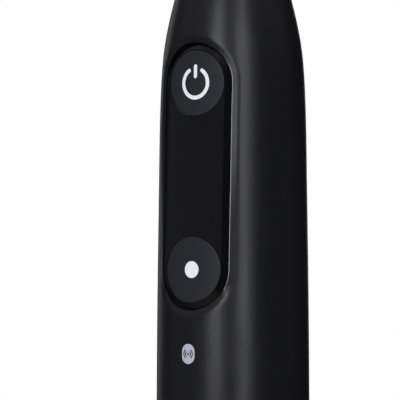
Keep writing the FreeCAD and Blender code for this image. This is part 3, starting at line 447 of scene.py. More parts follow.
def buildHousing():
    around, side = handle["around"], handle["side"]
    seamX, seamZ = stadium([0], handle["seam"], around, side)
    rimX, rimZ = stadium([handle["bevel"]], handle["seam"], around, side)

    edge = handle["lipEdge"]
    turn = np.linspace(0, np.pi / 2, 6)
    near = np.linspace(edge, handle["bevel"] + handle["rimSoft"] * 2, 26)
    far = np.linspace(near[-1], handle["reach"], 10)[1:]
    offsets = np.concatenate([edge * (1 - np.cos(turn)), near[1:], far])
    x, z = stadium(offsets, handle["seam"], around, side)
    y = housingFront(offsets[:, None], x, z, seamX, seamZ, rimX, rimZ)
    y[:6] += (edge * (1 - np.sin(turn)))[:, None]
    front = np.stack([x, y, z], -1)

    inward = -handle["seam"] * np.linspace(1, 0, 14)
    floorX, floorZ = stadium(inward, handle["seam"], around, side)
    floor = np.stack([floorX, planeY(floorZ, handle["pocket"]), floorZ], -1)
    wallShare = np.linspace(0, 1, 4)[:, None, None]
    wall = floor[-1:] + (front[:1] - floor[-1:]) * wallShare

    # from the last ring the columns fan out to a belt that goes right round the body
    low, high = z[-1].min() - handle["beltBelow"], z[-1].max() + handle["beltAbove"]
    ringTurn = np.arcsin(np.clip(x[-1] / housingRadius(z[-1]), -1, 1))
    run = np.linspace(0, 1, side, endpoint=False)
    sweep = np.linspace(0, 1, around, endpoint=False)
    beltTurn = np.pi * np.concatenate([np.ones(side), 1 - 2 * sweep, -np.ones(side), 2 * sweep - 1])
    beltZ = np.concatenate([low + (high - low) * run, np.full(around, high),
                            high - (high - low) * run, np.full(around, low)])
    share = np.linspace(0, 1, 44)[:, None]
    turnRows = ringTurn + (beltTurn - ringTurn) * share
    zRows = z[-1] + (beltZ - z[-1]) * share ** 1.4
    radius = housingRadius(zRows)
    belt = np.stack([radius * np.sin(turnRows), -radius * np.cos(turnRows), zRows], -1)

    # plain turned lengths above and below, with the foot's edge and the inner wall
    circle = np.pi * (1 - 2 * np.linspace(0, 1, around + 1))
    foot = footZ + handle["edge"]
    lowerZ, upperZ = np.linspace(foot, low, 40), np.linspace(high, neckZ, 40)
    heel = arc((housingRadius(foot) - handle["edge"], foot), handle["edge"], -90, 0, 8)
    lower = np.concatenate([heel, np.stack([housingRadius(lowerZ), lowerZ], -1)[1:]])
    innerZ = np.linspace(neckZ, footZ, 120)
    inner = np.stack([housingRadius(np.maximum(innerZ, foot)) - handle["wall"], innerZ], -1)
    upper = np.stack([housingRadius(upperZ), upperZ], -1)

    def ring(profile):
        return np.stack([profile[:, :1] * np.sin(circle), -profile[:, :1] * np.cos(circle),
                         profile[:, 1:] * np.ones_like(circle)], -1)

    inside = ring(inner)
    seatY = planeY(inside[..., 2], handle["boss"])
    atPanel = np.abs(inside[..., 2] - panelZ) < halfSpan + handle["seam"] + handle["bossMargin"]
    inside[..., 1] = np.where(atPanel, np.maximum(inside[..., 1], seatY), inside[..., 1])
    rims = [np.stack([ring(upper)[-1], inside[0]]), np.stack([inside[-1], ring(lower)[0]])]
    grids = [(floor, True), (wall, True), (front, True), (belt, True)]
    grids += [(ring(lower), False), (ring(upper), False), (inside, False)]
    grids += [(rim, False) for rim in rims]
    addPiece("housing", meshFrom("housing", grids, 50), materials["housing"], "handle",
             ["handle_shell"])

    # a polished edge round the pocket, a hair above the slope
    strip = np.linspace(0, handle["trim"], 4)
    x, z = stadium(strip, handle["seam"], around, side)
    y = housingFront(strip[:, None], x, z, seamX, seamZ, rimX, rimZ)
    y = np.minimum(y, seamDepth(seamX, seamZ) + handle["trimSlope"] * strip[:, None])
    y -= handle["trimProud"]
    face = np.stack([x, y, z], -1)
    back = face + np.array([0, handle["trimThick"], 0])
    grids = [(face, True), (back, True), (np.stack([back[0], face[0]]), True),
             (np.stack([face[-1], back[-1]]), True)]
    addPiece("panelTrim", meshFrom("panelTrim", grids, 50), materials["trim"], "handle")


buildHousing()
print("housing done")

# the control panel: window, keys, inlays and badge
lens = {"gap": 0.03, "roll": 1.29, "fall": 17.6, "endFall": 24.0, "edge": 0.06, "depth": 2.8,
        "hole": 6.27, "holeEdge": 0.02}


def lensFace(x, z, inside):
    # crowned face, then a straight fall near the outline, steepest at the four corners;
    # inside is the distance in from the outline
    beyond = np.maximum(np.abs(z - panelZ) - halfSpan, 0)
    corner = np.sin(2 * np.arctan2(beyond, np.abs(x) + 1e-6)) ** 2
    angle = lens["fall"] + (lens["endFall"] - lens["fall"]) * corner
    return panelY(x, z) + np.maximum(np.tan(np.radians(angle)) * (lens["roll"] - inside), 0)


def buildLens():
    around, side = handle["around"], 64
    outer = handle["seam"] - lens["gap"]
    hole, edge = lens["hole"], lens["edge"]
    turn = np.linspace(0, np.pi / 2, 12)
    last = outer - hole - lens["holeEdge"]
    inside = np.concatenate([edge * (1 - np.cos(turn)), np.linspace(edge, lens["roll"], 20)[1:],
                             np.linspace(lens["roll"], last, 3)[1:]])
    x, z = stadium(-inside, outer, around, side)
    y = lensFace(x, z, inside[:, None])
    y[:12] += (edge * (1 - np.sin(turn)))[:, None]
    band = np.stack([x, y, z], -1)
    under = band.copy()
    under[..., 1] = planeY(band[..., 2], lens["depth"])
    sideWall = np.stack([under[0], band[0]])

    # between the two key holes: straight across, from the upper hole's edge to the lower one's
    reach = hole + lens["holeEdge"]
    across = np.sin(np.linspace(-np.pi / 2, np.pi / 2, around + 1))[None, :] * reach
    down = np.linspace(1, -1, side + 1)[:, None]
    bite = np.sqrt(np.maximum(reach ** 2 - across ** 2, 0))
    middleZ = panelZ + down * (halfSpan - bite)
    middleX = across + 0 * down
    middle = np.stack([middleX, lensFace(middleX, middleZ, outer - np.abs(middleX)), middleZ], -1)
    middleUnder = middle.copy()
    middleUnder[..., 1] = planeY(middleZ, lens["depth"])

    grids = [(band, True), (under, True), (sideWall, True), (middle, False), (middleUnder, False)]
    circle = np.linspace(0, 2 * np.pi, 256, endpoint=False)
    for centre in (upperKeyZ, lowerKeyZ):
        rows = []
        for spread, sink in ((lens["holeEdge"], 0.0), (0.0, lens["holeEdge"])):
            rowX, rowZ = (hole + spread) * np.cos(circle), centre + (hole + spread) * np.sin(circle)
            outward = np.sign(centre - panelZ) * (rowZ - centre)
            inset = np.where(outward > 0, outer - reach, outer - np.abs(rowX))
            rows.append(np.stack([rowX, lensFace(rowX, rowZ, inset) + sink, rowZ], -1))
        last = rows[-1].copy()
        last[:, 1] = planeY(last[:, 2], lens["depth"])
        skirt = last.copy()
        skirt[:, 0] *= reach / hole
        skirt[:, 2] = centre + (last[:, 2] - centre) * reach / hole
        grids.append((np.stack(rows + [last, skirt]), True))
    addPiece("controlWindow", meshFrom("controlWindow", grids, 12), materials["lens"], "handle",
             ["control_lens"])


key = {"radius": 6.22, "edge": 0.12, "thick": 2.0, "sink": 0.02, "dish": 0.05}


def keyFace(x, z, centre):
    # the panel's crown with a very shallow finger dish
    away = np.hypot(x, z - centre) / key["radius"]
    return panelY(x, z) + key["sink"] + key["dish"] * (1 - away ** 2)


def polar(radii, centre, steps=128):
    turn = np.linspace(0, 2 * np.pi, steps, endpoint=False)
    radii = np.asarray(radii, float)[:, None]
    return radii * np.cos(turn), centre + radii * np.sin(turn)


def slab(top, bottom):
    # a top that runs out to its rim, a wall, and a bottom that runs back in
    return [(top, True), (np.stack([top[-1], bottom[0]]), True), (bottom, True)]


def buildKey(name, centre, body, nodes):
    turn = np.linspace(np.pi / 2, 0, 7)
    flat = key["radius"] - key["edge"]
    radii = np.concatenate([np.linspace(0, flat, 18), flat + key["edge"] * np.cos(turn)[1:]])
    drops = np.concatenate([np.zeros(18), key["edge"] * (1 - np.sin(turn))[1:]])
    x, z = polar(radii, centre)
    top = np.stack([x, keyFace(x, z, centre) + drops[:, None], z], -1)
    bottom = top[::-1].copy()
    bottom[..., 1] = planeY(bottom[..., 2], key["thick"])
    addPiece(name, meshFrom(name, slab(top, bottom), 50), materials["key"], body, nodes)


inlay = {"proud": 0.015, "deep": 0.25, "stroke": 0.74, "ring": 2.78, "gap": 32.0,
         "barLow": 1.27, "barHigh": 3.16, "dot": 1.6, "soft": 0.05}


def strokeGrid(path, width, face, steps=14):
    # a flat bead carried along a path of (x, z), with round ends; face gives its seat
    path = np.asarray(path, float)
    ahead = np.gradient(path, axis=0)
    ahead /= np.hypot(ahead[:, 0], ahead[:, 1])[:, None]
    half = width / 2
    swing = np.linspace(0, np.pi / 2, 9)[:-1]
    startPath = path[0] - ahead[0] * (half * np.cos(swing))[:, None]
    endPath = path[-1] + ahead[-1] * (half * np.cos(swing))[::-1, None]
    middle = np.concatenate([startPath, path, endPath])
    along = np.concatenate([np.repeat(ahead[:1], 8, 0), ahead, np.repeat(ahead[-1:], 8, 0)])
    spread = np.concatenate([half * np.sin(swing), np.full(len(path), half), half * np.sin(swing)[::-1]])
    side = np.stack([-along[:, 1], along[:, 0]], -1)
    turn = np.linspace(0, 2 * np.pi, steps * 2, endpoint=False)
    across = np.sign(np.cos(turn)) * np.abs(np.cos(turn)) ** 0.45
    lift = np.where(np.sin(turn) > 0, -inlay["proud"] * np.abs(np.sin(turn)) ** 0.6,
                    inlay["deep"] * np.abs(np.sin(turn)) ** 0.3)
    spots = middle[:, None] + side[:, None] * (spread[:, None] * across)[..., None]
    x, z = spots[..., 0], spots[..., 1]
    return np.stack([x, face(x, z) + lift, z], -1), True


def discGrid(centre, radius, face):
    turn = np.linspace(np.pi / 2, 0, 5)
    soft = inlay["soft"]
    radii = np.concatenate([np.linspace(0, radius - soft, 10), radius - soft + soft * np.cos(turn)[1:]])
    lift = np.concatenate([np.zeros(10), soft * (1 - np.sin(turn))[1:]]) * 0.5 - inlay["proud"]
    x, z = polar(radii, centre, 64)
    top = np.stack([x, face(x, z) + lift[:, None], z], -1)
    return slab(top, top[::-1] + np.array([0, inlay["deep"], 0]))


def buildInlays():
    def upper(x, z):
        return keyFace(x, z, upperKeyZ)

    def lower(x, z):
        return keyFace(x, z, lowerKeyZ)

    lean = inlay["gap"]
    ringPath = arc((0, upperKeyZ), inlay["ring"], 90 + lean, 450 - lean, 72)
    barZ = np.linspace(upperKeyZ + inlay["barLow"], upperKeyZ + inlay["barHigh"], 12)
    barPath = np.stack([0 * barZ, barZ], -1)
    grids = [strokeGrid(ringPath, inlay["stroke"], upper), strokeGrid(barPath, inlay["stroke"], upper)]
    addPiece("powerSymbol", meshFrom("powerSymbol", grids, 60), materials["icon"], "power_key",
             ["power_icon"])
    addPiece("modeDot", meshFrom("modeDot", discGrid(lowerKeyZ, inlay["dot"], lower), 60),
             materials["icon"], "mode_key", ["mode_dot"])


badge = {"halfWidth": 1.48, "halfLength": 1.93, "edge": 0.12, "proud": 0.02, "deep": 0.22,
         "ink": 0.25, "inkProud": 0.012, "arcs": (0.58, 0.98), "spread": 46.0, "dot": 0.23}


def buildBadge():
    # a small pale pill on the body, with a dot and two arcs each side of it in dark ink
    around, side = 48, 6
    turn = np.linspace(0, np.pi / 2, 6)
    edge, half = badge["edge"], badge["halfWidth"]
    inset = np.concatenate([edge * (1 - np.cos(turn)), np.linspace(edge, half, 14)[1:]])
    drop = np.concatenate([edge * (1 - np.sin(turn)), np.zeros(13)]) * 0.5 - badge["proud"]
    reach = half - inset[:, None]
    run = np.linspace(-1, 1, side, endpoint=False)
    swing = np.linspace(0, np.pi, around, endpoint=False)
    long = badge["halfLength"] - half
    x = np.hstack([reach * np.ones(side), reach * np.cos(swing),
                   -reach * np.ones(side), -reach * np.cos(swing)])
    z = np.hstack([long * run + 0 * reach, long + reach * np.sin(swing), -long * run + 0 * reach,
                   -long - reach * np.sin(swing)]) + badgeZ
    top = np.stack([x, bodyY(x, z) + drop[:, None], z], -1)
    bottom = top[::-1] + np.array([0, badge["deep"], 0])
    grids = [(top, True), (np.stack([bottom[-1], top[0]]), True), (bottom, True)]
    addPiece("wirelessBadge", meshFrom("wirelessBadge", grids, 60), materials["badge"], "handle",
             ["wireless_badge"])

    def onBadge(x, z):
        return bodyY(x, z) - badge["proud"] + badge["inkProud"]

    marks = []
    for radius in badge["arcs"]:
        for middle in (0, 180):
            path = arc((0, badgeZ), radius, middle - badge["spread"], middle + badge["spread"], 20)
            marks.append(strokeGrid(path, badge["ink"], onBadge))
    marks += discGrid(badgeZ, badge["dot"], onBadge)
    addPiece("badgeMark", meshFrom("badgeMark", marks, 60), materials["badgeInk"], "handle")


buildLens()
buildKey("powerKey", upperKeyZ, "power_key", ["power_button"])
buildKey("modeKey", lowerKeyZ, "mode_key", ["mode_button"])
buildInlays()
buildBadge()
print("control panel done")

# the neck: light ring, nose and seal
ringLow, ringHigh = boxOf("light_ring")
noseLow, noseHigh = boxOf("nose_cap")
sealLow, sealHigh = boxOf("shaft_seal")
neck = {"radius": 6.95, "inner": 5.25, "collar": 2.1, "boss": 4.9, "flat": 4.3, "bore": 1.55,
        "soft": 0.18, "fit": 0.1, "clear": 0.7, "guide": 6.0, "flatAbove": 0.25,
        "sealWide": 4.0, "sealThin": 2.2, "sealRings": 3, "rib": 0.16}


def buildNeck():
    low, high = ringLow[2], ringHigh[2]
    radius, inner, boss, bore = neck["radius"], neck["inner"], neck["boss"], neck["bore"]
    line = [(inner, low), (radius, low), (radius, (low + high) / 2), (radius, high), (inner, high),
            (inner, low)]
    band = turned(rounded(line, neck["soft"]))
    addPiece("lightRing", meshFrom("lightRing", [band], 50), materials["ring"], "handle",
             ["light_ring"])

    foot, top, shoulder = noseLow[2], noseHigh[2], high + neck["collar"]
    spigot, wide, step = inner - neck["fit"], bore + neck["clear"], top - neck["guide"]
    line = [(wide, foot), (spigot, foot), (spigot, high), (radius, high), (radius, shoulder),
            (boss, shoulder), (boss, top), (bore, top), (bore, step), (wide, step), (wide, foot)]
    soft = [0.01, 0.2, 0.05, 0.05, 0.3, 0.2, 0.5, 0.1, 0.1, 0.1, 0.01]
    points, wraps = turned(rounded(line, soft), steps=128)
    # above the shoulder the boss has a flat on each side
    isBoss = points[..., 2] > shoulder + neck["flatAbove"]
    flattened = np.clip(points[..., 0], -neck["flat"], neck["flat"])
    points[..., 0] = np.where(isBoss, flattened, points[..., 0])
    addPiece("nose", meshFrom("nose", [(points, wraps)], 35), materials["bevel"], "handle",
             ["nose_cap"])

    # a ribbed cone of soft rubber round the shaft
    share = np.linspace(0, 1, 40)
    wide = neck["sealWide"] + (neck["sealThin"] - neck["sealWide"]) * share
    ribs = neck["rib"] * np.cos(2 * np.pi * share * neck["sealRings"])
    height = sealLow[2] + (sealHigh[2] - sealLow[2]) * share
    cone = np.stack([wide + ribs - neck["rib"], height], -1)
    bore = [(neck["bore"], sealHigh[2]), (neck["bore"], sealLow[2]), tuple(cone[0])]
    addPiece("shaftSeal", meshFrom("shaftSeal", [turned(np.concatenate([cone, bore]))], 50),
             materials["seal"], "handle", ["shaft_seal"])


buildNeck()
print("neck done")

# the brush head: stations are (height above its foot, radius)
head = {
    "stations": [(0.0, 6.85), (20.0, 5.35), (44.0, 4.4), (60.0, 4.2)],
    "wall": 1.15, "cup": 5.9, "back": 3.6, "front": 2.5, "room": 4.9, "roomDeep": 2.2,
    "throat": 3.05, "boreTop": 7.5, "throatTop": 2.0, "ringGap": 0.05,
    "blend": 9.0, "frontFoot": 12.0, "frontTop": 7.3, "ringHigh": 2.6,
}
headHeights, headRadii = np.array(head["stations"]).T
headFoot = boxOf("id_ring")[0][2]
headRadius = splineThrough(headHeights + headFoot, headRadii)


def headSkin(low, steps=64):
    # upright ovals: round up the neck, widening into the flat-fronted cup, and shut at the top
    top = discZ + head["cup"]
    stem = np.linspace(low, discZ - head["blend"], 50, endpoint=False)
    cupZ = discZ - head["blend"] + (top - discZ + head["blend"]) * np.sin(np.linspace(0, np.pi / 2, 44))
    z = np.concatenate([stem, cupZ])
    neckR = headRadius(np.minimum(z, headFoot + headHeights[-1]))
    cup = np.sqrt(np.maximum(head["cup"] ** 2 - (z - discZ) ** 2, 0))
    half = np.where(z < discZ, smoothMax(neckR, cup, 1.6), cup)
    share = np.clip((z - (discZ - head["blend"])) / (head["blend"] - 3.0), 0, 1)
    share = share * share * (3 - 2 * share)
    shut = np.clip((top - z) / 3.2, 0, 1) ** 0.5
    back = (neckR + (head["back"] - neckR) * share) * np.where(z > discZ, shut, 1)
    # the front is flat before it reaches the bristle plate
    frontShare = np.clip((z - (discZ - head["frontFoot"])) / (head["frontFoot"] - head["frontTop"]), 0, 1)
    frontShare = frontShare * frontShare * (3 - 2 * frontShare)
    front = neckR + (head["front"] - neckR) * frontShare
    power = 1 + 0.55 * share
    turn = np.linspace(0, 2 * np.pi, steps * 2, endpoint=False)
    cosine, sine = np.cos(turn), np.sin(turn)
    x = half[:, None] * np.sign(cosine) * np.abs(cosine) ** (1 / power[:, None])
    rise = np.abs(sine) ** (1 / power[:, None])
    flat = np.minimum(rise * (1 + 1.2 * share[:, None]), 1)
    y = np.where(sine > 0, back[:, None] * rise, -front[:, None] * flat)
    return np.stack([x, y, z[:, None] + 0 * x], -1)


def closed(points):
    # a grid with each end drawn in to its own middle
    first, last = points[:1].mean(1, keepdims=True), points[-1:].mean(1, keepdims=True)
    ones = np.ones((1, points.shape[1], 1))
    return [(np.concatenate([first * ones, points, last * ones]), True)]


def cutAway(piece, name, grids):
    # takes a closed shape out of a piece, and keeps the result as plain mesh
    tool = inScene(name, meshFrom(name, grids))
    cut = piece.modifiers.new("cut", "BOOLEAN")
    cut.operation, cut.solver, cut.object = "DIFFERENCE", "EXACT", tool
    bpy.context.view_layer.update()
    mesh = bpy.data.meshes.new_from_object(piece.evaluated_get(bpy.context.evaluated_depsgraph_get()))
    piece.modifiers.clear()
    piece.data = mesh
    bpy.data.objects.remove(tool)
    mesh.shade_smooth()
    mesh.set_sharp_from_angle(angle=math.radians(40))


def buildHead():
    split = headFoot + head["ringHigh"]
    # the top row already meets along one line, so only the foot gets a cap
    rows = headSkin(split)
    foot = rows[:1].mean(1, keepdims=True) + 0 * rows[:1]
    skin = meshFrom("headTube", [(np.concatenate([foot, rows]), True)], 50)
    tube = addPiece("headTube", skin, materials["head"], "brush_head", ["head_tube"])
    innerTop = discZ - head["boreTop"]
    z = np.linspace(split - 2, innerTop, 40)
    bore = np.stack([headRadius(z) - head["wall"], z], -1)
    cutAway(tube, "boreTool", closed(turned(bore)[0]))
    throat = [(head["throat"], innerTop - 0.5), (head["throat"], discZ - head["throatTop"])]
    cutAway(tube, "throatTool", closed(turned(throat)[0]))
    room = [(head["room"], -head["front"] - 2), (head["room"], head["roomDeep"])]
    cutAway(tube, "roomTool", closed(turned(room, "y", (0, 0, discZ))[0]))

    low, high = headFoot, split - head["ringGap"]
    wide, thin, wall = headRadius(low), headRadius(high), head["wall"]
    ring = [(wide - wall, low), (wide, low), (thin, high), (thin - wall, high), (wide - wall, low)]
    addPiece("idRing", meshFrom("idRing", [turned(rounded(ring, [0, 0.3, 0.12, 0.1, 0]))], 50),
             materials["headGrey"], "brush_head", ["id_ring"])


disc = {"radius": 6.9, "thick": 2.0, "edge": 0.6, "air": 0.3, "hub": 1.9, "crank": 1.3, "bore": 0.8,
        "cover": 0.9}
discBack = head["front"] + disc["air"]
discFace = discBack + disc["thick"]


def buildDisc():
    edge, radius = disc["edge"], disc["radius"]
    outline = [(0, -discFace), (radius, -discFace), (radius, -discBack), (disc["hub"], -discBack),
               (disc["hub"], -discBack + disc["crank"]), (disc["bore"], -discBack + disc["crank"]),
               (disc["bore"], -discFace + disc["cover"]), (0, -discFace + disc["cover"])]
    profile = rounded(outline, [0, edge, 0.25, 0.2, 0.15, 0.05, 0.05, 0], 8)
    addPiece("bristlePlate", meshFrom("bristlePlate", [turned(profile, "y", (0, 0, discZ), 128)], 40),
             materials["head"], "bristle_plate", ["bristle_disc"])


bristles = {
    # each tuft's root colour is darker than its tip: painted shade towards the roots
    "outer": {"count": 16, "circle": 5.75, "turn": 0.0, "length": 8.2, "fan": 0.5,
              "node": "outer_bristles", "slot": "bristle_white",
              "root": rgb(0.66, 0.69, 0.72), "tip": rgb(0.9, 0.92, 0.94)},
    "middle": {"count": 10, "circle": 3.75, "turn": 0.5, "length": 7.7, "fan": 0.15,
              "node": "middle_bristles", "slot": "bristle_blue",
              "root": rgb(0.02, 0.12, 0.42), "tip": rgb(0.10, 0.34, 0.74)},
    "centre": {"count": 6, "circle": 1.95, "turn": 0.0, "length": 7.4, "fan": 0.0,
              "node": "centre_bristles", "slot": "bristle_aqua",
              "root": rgb(0.05, 0.42, 0.42), "tip": rgb(0.3, 0.78, 0.76)},
}
filament = {"perTuft": 34, "radius": 0.085, "tuft": 0.66, "sides": 5, "uneven": 0.16, "sunk": 0.4,
            "fanShare": 0.4, "stray": 0.07, "splay": 0.12}


def filamentGrid(roots, tips, radius, sides):
    # every filament at once: rings of a few points along root to tip, drawn in at the end
    share = np.array([0, 0.35, 0.7, 0.96, 1.0, 1.0])
    thin = np.array([1, 1, 1, 0.92, 0.5, 0.0])
    turn = np.linspace(0, 2 * np.pi, sides, endpoint=False)
    ring = np.stack([np.cos(turn), 0 * turn, np.sin(turn)], -1) * radius
    line = roots[:, None] + (tips - roots)[:, None] * share[:, None]
    return line[:, :, None] + ring[None, None] * thin[None, :, None, None]


def buildBristles():
    rng = np.random.default_rng(7)
    for name, tuft in bristles.items():
        turn = 2 * np.pi * (np.arange(tuft["count"]) + tuft["turn"]) / tuft["count"]
        centres = np.stack([np.cos(turn), np.sin(turn)], -1) * tuft["circle"]
        # filaments packed like seeds: the golden angle, with the root of the count for radius
        number = np.arange(filament["perTuft"])
        seed = np.sqrt((number + 0.5) / len(number)) * filament["tuft"]
        golden = number * np.pi * (3 - math.sqrt(5))
        pack = np.stack([seed * np.cos(golden), seed * np.sin(golden)], -1)
        flat = (centres[:, None] + pack[None]).reshape(-1, 2)
        outward = np.stack([np.cos(turn), np.sin(turn)], -1) * tuft["fan"]
        lean = np.repeat(outward, len(number), 0) * filament["fanShare"]
        lean = lean + rng.normal(0, filament["stray"], flat.shape)
        lean = lean + np.tile(pack, (len(centres), 1)) * filament["splay"]
        length = tuft["length"] - filament["uneven"] * rng.random(len(flat))
        rootY = np.full(len(flat), -discFace + filament["sunk"])
        roots = np.stack([flat[:, 0], rootY, flat[:, 1] + discZ], -1)
        end = flat + lean
        tips = np.stack([end[:, 0], -discFace - length, end[:, 1] + discZ], -1)
        rings = filamentGrid(roots, tips, filament["radius"], filament["sides"])
        mesh = filamentMesh(name + "Bristles", rings)
        material = nylonBristle(name + "Nylon", tuft["root"], tuft["tip"], -discFace,
                                -discFace - tuft["length"])
        addPiece(name + "Bristles", mesh, material, "bristle_plate", [tuft["node"]])


def filamentMesh(name, rings):
    # one mesh from an array of filaments: filament, ring, side, xyz
    count, rows, sides = rings.shape[:3]
    index = np.arange(count * rows * sides).reshape(count, rows, sides)
    index = np.concatenate([index, index[:, :, :1]], 2)
    corners = [index[:, :-1, :-1], index[:, :-1, 1:], index[:, 1:, 1:], index[:, 1:, :-1]]
    quads = np.stack(corners, -1).reshape(-1, 4)
    ends = index[:, 0, :sides]
    mesh = bpy.data.meshes.new(name)
    faces = quads.tolist() + ends.tolist()
    mesh.from_pydata(rings.reshape(-1, 3) * mm, [], faces)
    weld(mesh, 0.0005)
    return mesh


buildHead()
buildDisc()
buildBristles()
print("brush head done")

# the charger, its pad and the handle's foot cap
chargerLow, chargerHigh = boxOf("charger_shell")
glandLow, glandHigh = boxOf("cord_gland")
charger = {
    "corner": 28.0, "edge": 6.5, "bottom": 0.7, "wall": 2.0, "dish": 14.8, "dishDeep": 1.4,
    "peg": 4.6, "pegRound": 1.2, "pegBore": 3.6, "top": 18.0, "steps": 256,
    "gland": 3.2, "glandPocket": 9.0, "padInset": 3.0, "dishRim": 0.5, "pegFlare": 2.5, "pegRoof": 1.4,
}
inlet = {"bore": 1.75, "flange": 4.1, "flangeThick": 2.1, "radius": 3.15}


def roundedOutline(width, depth, corner, inset, steps):
    # a rounded oblong by angle: each ray from the middle meets the straight side or the corner arc
    turn = np.linspace(0, 2 * np.pi, steps, endpoint=False) + 0 * np.asarray(inset)
    halfX, halfY, arcR = width / 2 - inset, depth / 2 - inset, corner - inset
    c, s = np.abs(np.cos(turn)), np.abs(np.sin(turn))
    midX, midY = halfX - arcR, halfY - arcR
    ray = np.minimum(halfX / np.maximum(c, 1e-9), halfY / np.maximum(s, 1e-9))
    dot = c * midX + s * midY
    cornerRay = dot + np.sqrt(np.maximum(dot ** 2 - (midX ** 2 + midY ** 2 - arcR ** 2), 0))
    inCorner = (cornerRay * c > midX) & (cornerRay * s > midY)
    ray = np.where(inCorner, cornerRay, ray)
    return ray * np.cos(turn), ray * np.sin(turn)


def chargerRows(levels, width, depth, corner):
    # each level is (inset, height); the outline shrinks by the inset
    inset, height = np.array(levels, float).T
    x, y = roundedOutline(width, depth, corner, inset[:, None], charger["steps"])
    return np.stack([x, y, height[:, None] + 0 * x], -1)


def buildCharger():
    width, depth = chargerHigh[0] - chargerLow[0], chargerHigh[1] - chargerLow[1]
    low, top, edge, corner = chargerLow[2], charger["top"], charger["edge"], charger["corner"]
    wall = charger["wall"]
    foot = arc((charger["bottom"], low + charger["bottom"]), charger["bottom"], 270, 180, 7)
    dome = arc((edge, top - edge), edge, 180, 90, 26)
    sides = np.concatenate([foot, dome])
    outer = chargerRows(sides, width, depth, corner)
    turn = np.linspace(0, 2 * np.pi, charger["steps"], endpoint=False)

    def circle(radius, height):
        return np.stack([radius * np.cos(turn), radius * np.sin(turn), height + 0 * turn], -1)

    # the flat top runs from the oblong to the round dish
    share = np.linspace(0, 1, 10)[:, None, None]
    dishR, rimR = charger["dish"], charger["dish"] + charger["dishRim"]
    flat = outer[-1] + (circle(rimR, top) - outer[-1]) * share
    seat, peg, pegTop = top - charger["dishDeep"], charger["peg"], chargerHigh[2]
    line = [(rimR, top), (dishR, top), (dishR, seat), (peg, seat), (peg, pegTop), (0.0, pegTop)]
    profile = rounded(line, [0, 0.35, 0.3, 0.4, charger["pegRound"], 0], 9)
    dish = np.stack([circle(radius, height) for radius, height in profile])

    ceiling, bore = seat - wall, charger["pegBore"]
    innerRows = chargerRows([(charger["bottom"], low), (wall, low), (wall, ceiling)], width, depth, corner)
    roof = pegTop - charger["pegRoof"]
    line = [(bore + charger["pegFlare"], ceiling), (bore, ceiling), (bore, roof), (0.0, roof)]
    pegInside = np.stack([circle(radius, height) for radius, height in rounded(line, 0.3)])
    ceilingRows = innerRows[-1] + (pegInside[0] - innerRows[-1]) * share
    grids = [(rows, True) for rows in (outer, flat, dish, innerRows, ceilingRows, pegInside)]
    shell = addPiece("chargerShell", meshFrom("chargerShell", grids, 50), materials["charger"], "charger",
                     ["charger_shell"])
    glandZ, glandR = (glandLow[2] + glandHigh[2]) / 2, charger["gland"]
    hole = [(glandR, depth / 2 - charger["glandPocket"]), (glandR, depth / 2 + 3)]
    cutAway(shell, "holeTool", closed(turned(hole, "y", (0, 0, glandZ), 64)[0]))

    back, inner = glandHigh[1], glandLow[1]
    bore, flange, radius = inlet["bore"], inlet["flange"], inlet["radius"]
    step = inner + inlet["flangeThick"]
    line = [(bore, inner), (flange, inner), (flange, step), (radius, step), (radius, back),
            (bore, back), (bore, inner)]
    profile = rounded(line, [0, 0.1, 0.1, 0.1, 0.35, 0.45, 0], 8)
    addPiece("cordInlet", meshFrom("cordInlet", [turned(profile, "y", (0, 0, glandZ), 64)], 50),
             materials["pad"], "charger", ["cord_gland"])


pad = {"inner": 24.0, "grooves": (5.0, 8.0), "grooveDeep": 0.22, "grooveWide": 0.5, "edge": 0.3,
       "soft": 0.15}


def buildPad():
    low, high = boxOf("foot_pad")
    width, depth = high[0] - low[0], high[1] - low[1]
    corner = charger["corner"] - charger["padInset"]
    # the resting side has two shallow grooves that follow its outline
    inner, soft, edge = pad["inner"], pad["soft"], pad["edge"]
    insets = np.linspace(0.5, inner, 120)
    groove = sum(np.exp(-((insets - place) / pad["grooveWide"]) ** 2) for place in pad["grooves"])
    under = np.stack([insets, low[2] + pad["grooveDeep"] * groove], -1)
    rim = arc((edge, low[2] + edge), edge, 180, 270, 6)
    levels = np.concatenate([[(inner, high[2]), (soft, high[2]), (0.0, high[2] - soft)], rim, under])
    rows = chargerRows(levels, width, depth, corner)
    middleTop, middleUnder = rows[0] * [0, 0, 1], rows[-1] * [0, 0, 1]
    rows = np.concatenate([[middleTop], rows, [middleUnder]])
    addPiece("restPad", meshFrom("restPad", [(rows, True)], 50), materials["pad"], "charger",
             ["foot_pad"])


cap = {"socket": 5.2, "deep": 12.1, "roof": 13.3, "sleeve": 6.4, "floor": 2.1, "skirt": 1.4,
       "skirtDrop": 6.0, "groove": 0.8}


def buildBaseCap():
    # the handle's end: a shallow dished cap round the deep socket
    low, high = boxOf("base_cap")
    sealFoot, sealTop = (box[2] for box in boxOf("base_seal"))
    outer, foot, rim = high[0], low[2], high[2] - cap["skirtDrop"]
    groove, skirt = outer - cap["groove"], outer - cap["skirt"]
    floor, socketTop, socketRoof = foot + cap["floor"], foot + cap["deep"], foot + cap["roof"]
    line = [(0, socketTop), (cap["socket"], socketTop), (cap["socket"], foot), (outer, foot),
            (outer, sealFoot), (groove, sealFoot), (groove, sealTop), (outer, sealTop), (outer, rim),
            (skirt, rim), (skirt, floor), (cap["sleeve"], floor), (cap["sleeve"], socketRoof),
            (0, socketRoof)]
    profile = rounded(line, [0, 0.8, 0.6, 0.3, 0.05, 0.05, 0.05, 0.05, 0.1, 0.1, 0.2, 0.2, 0.3, 0], 8)
    addPiece("baseCap", meshFrom("baseCap", [turned(profile)], 40), materials["bevel"], "handle",
             ["base_cap"])


buildCharger()
buildPad()
buildBaseCap()
print("charger done")

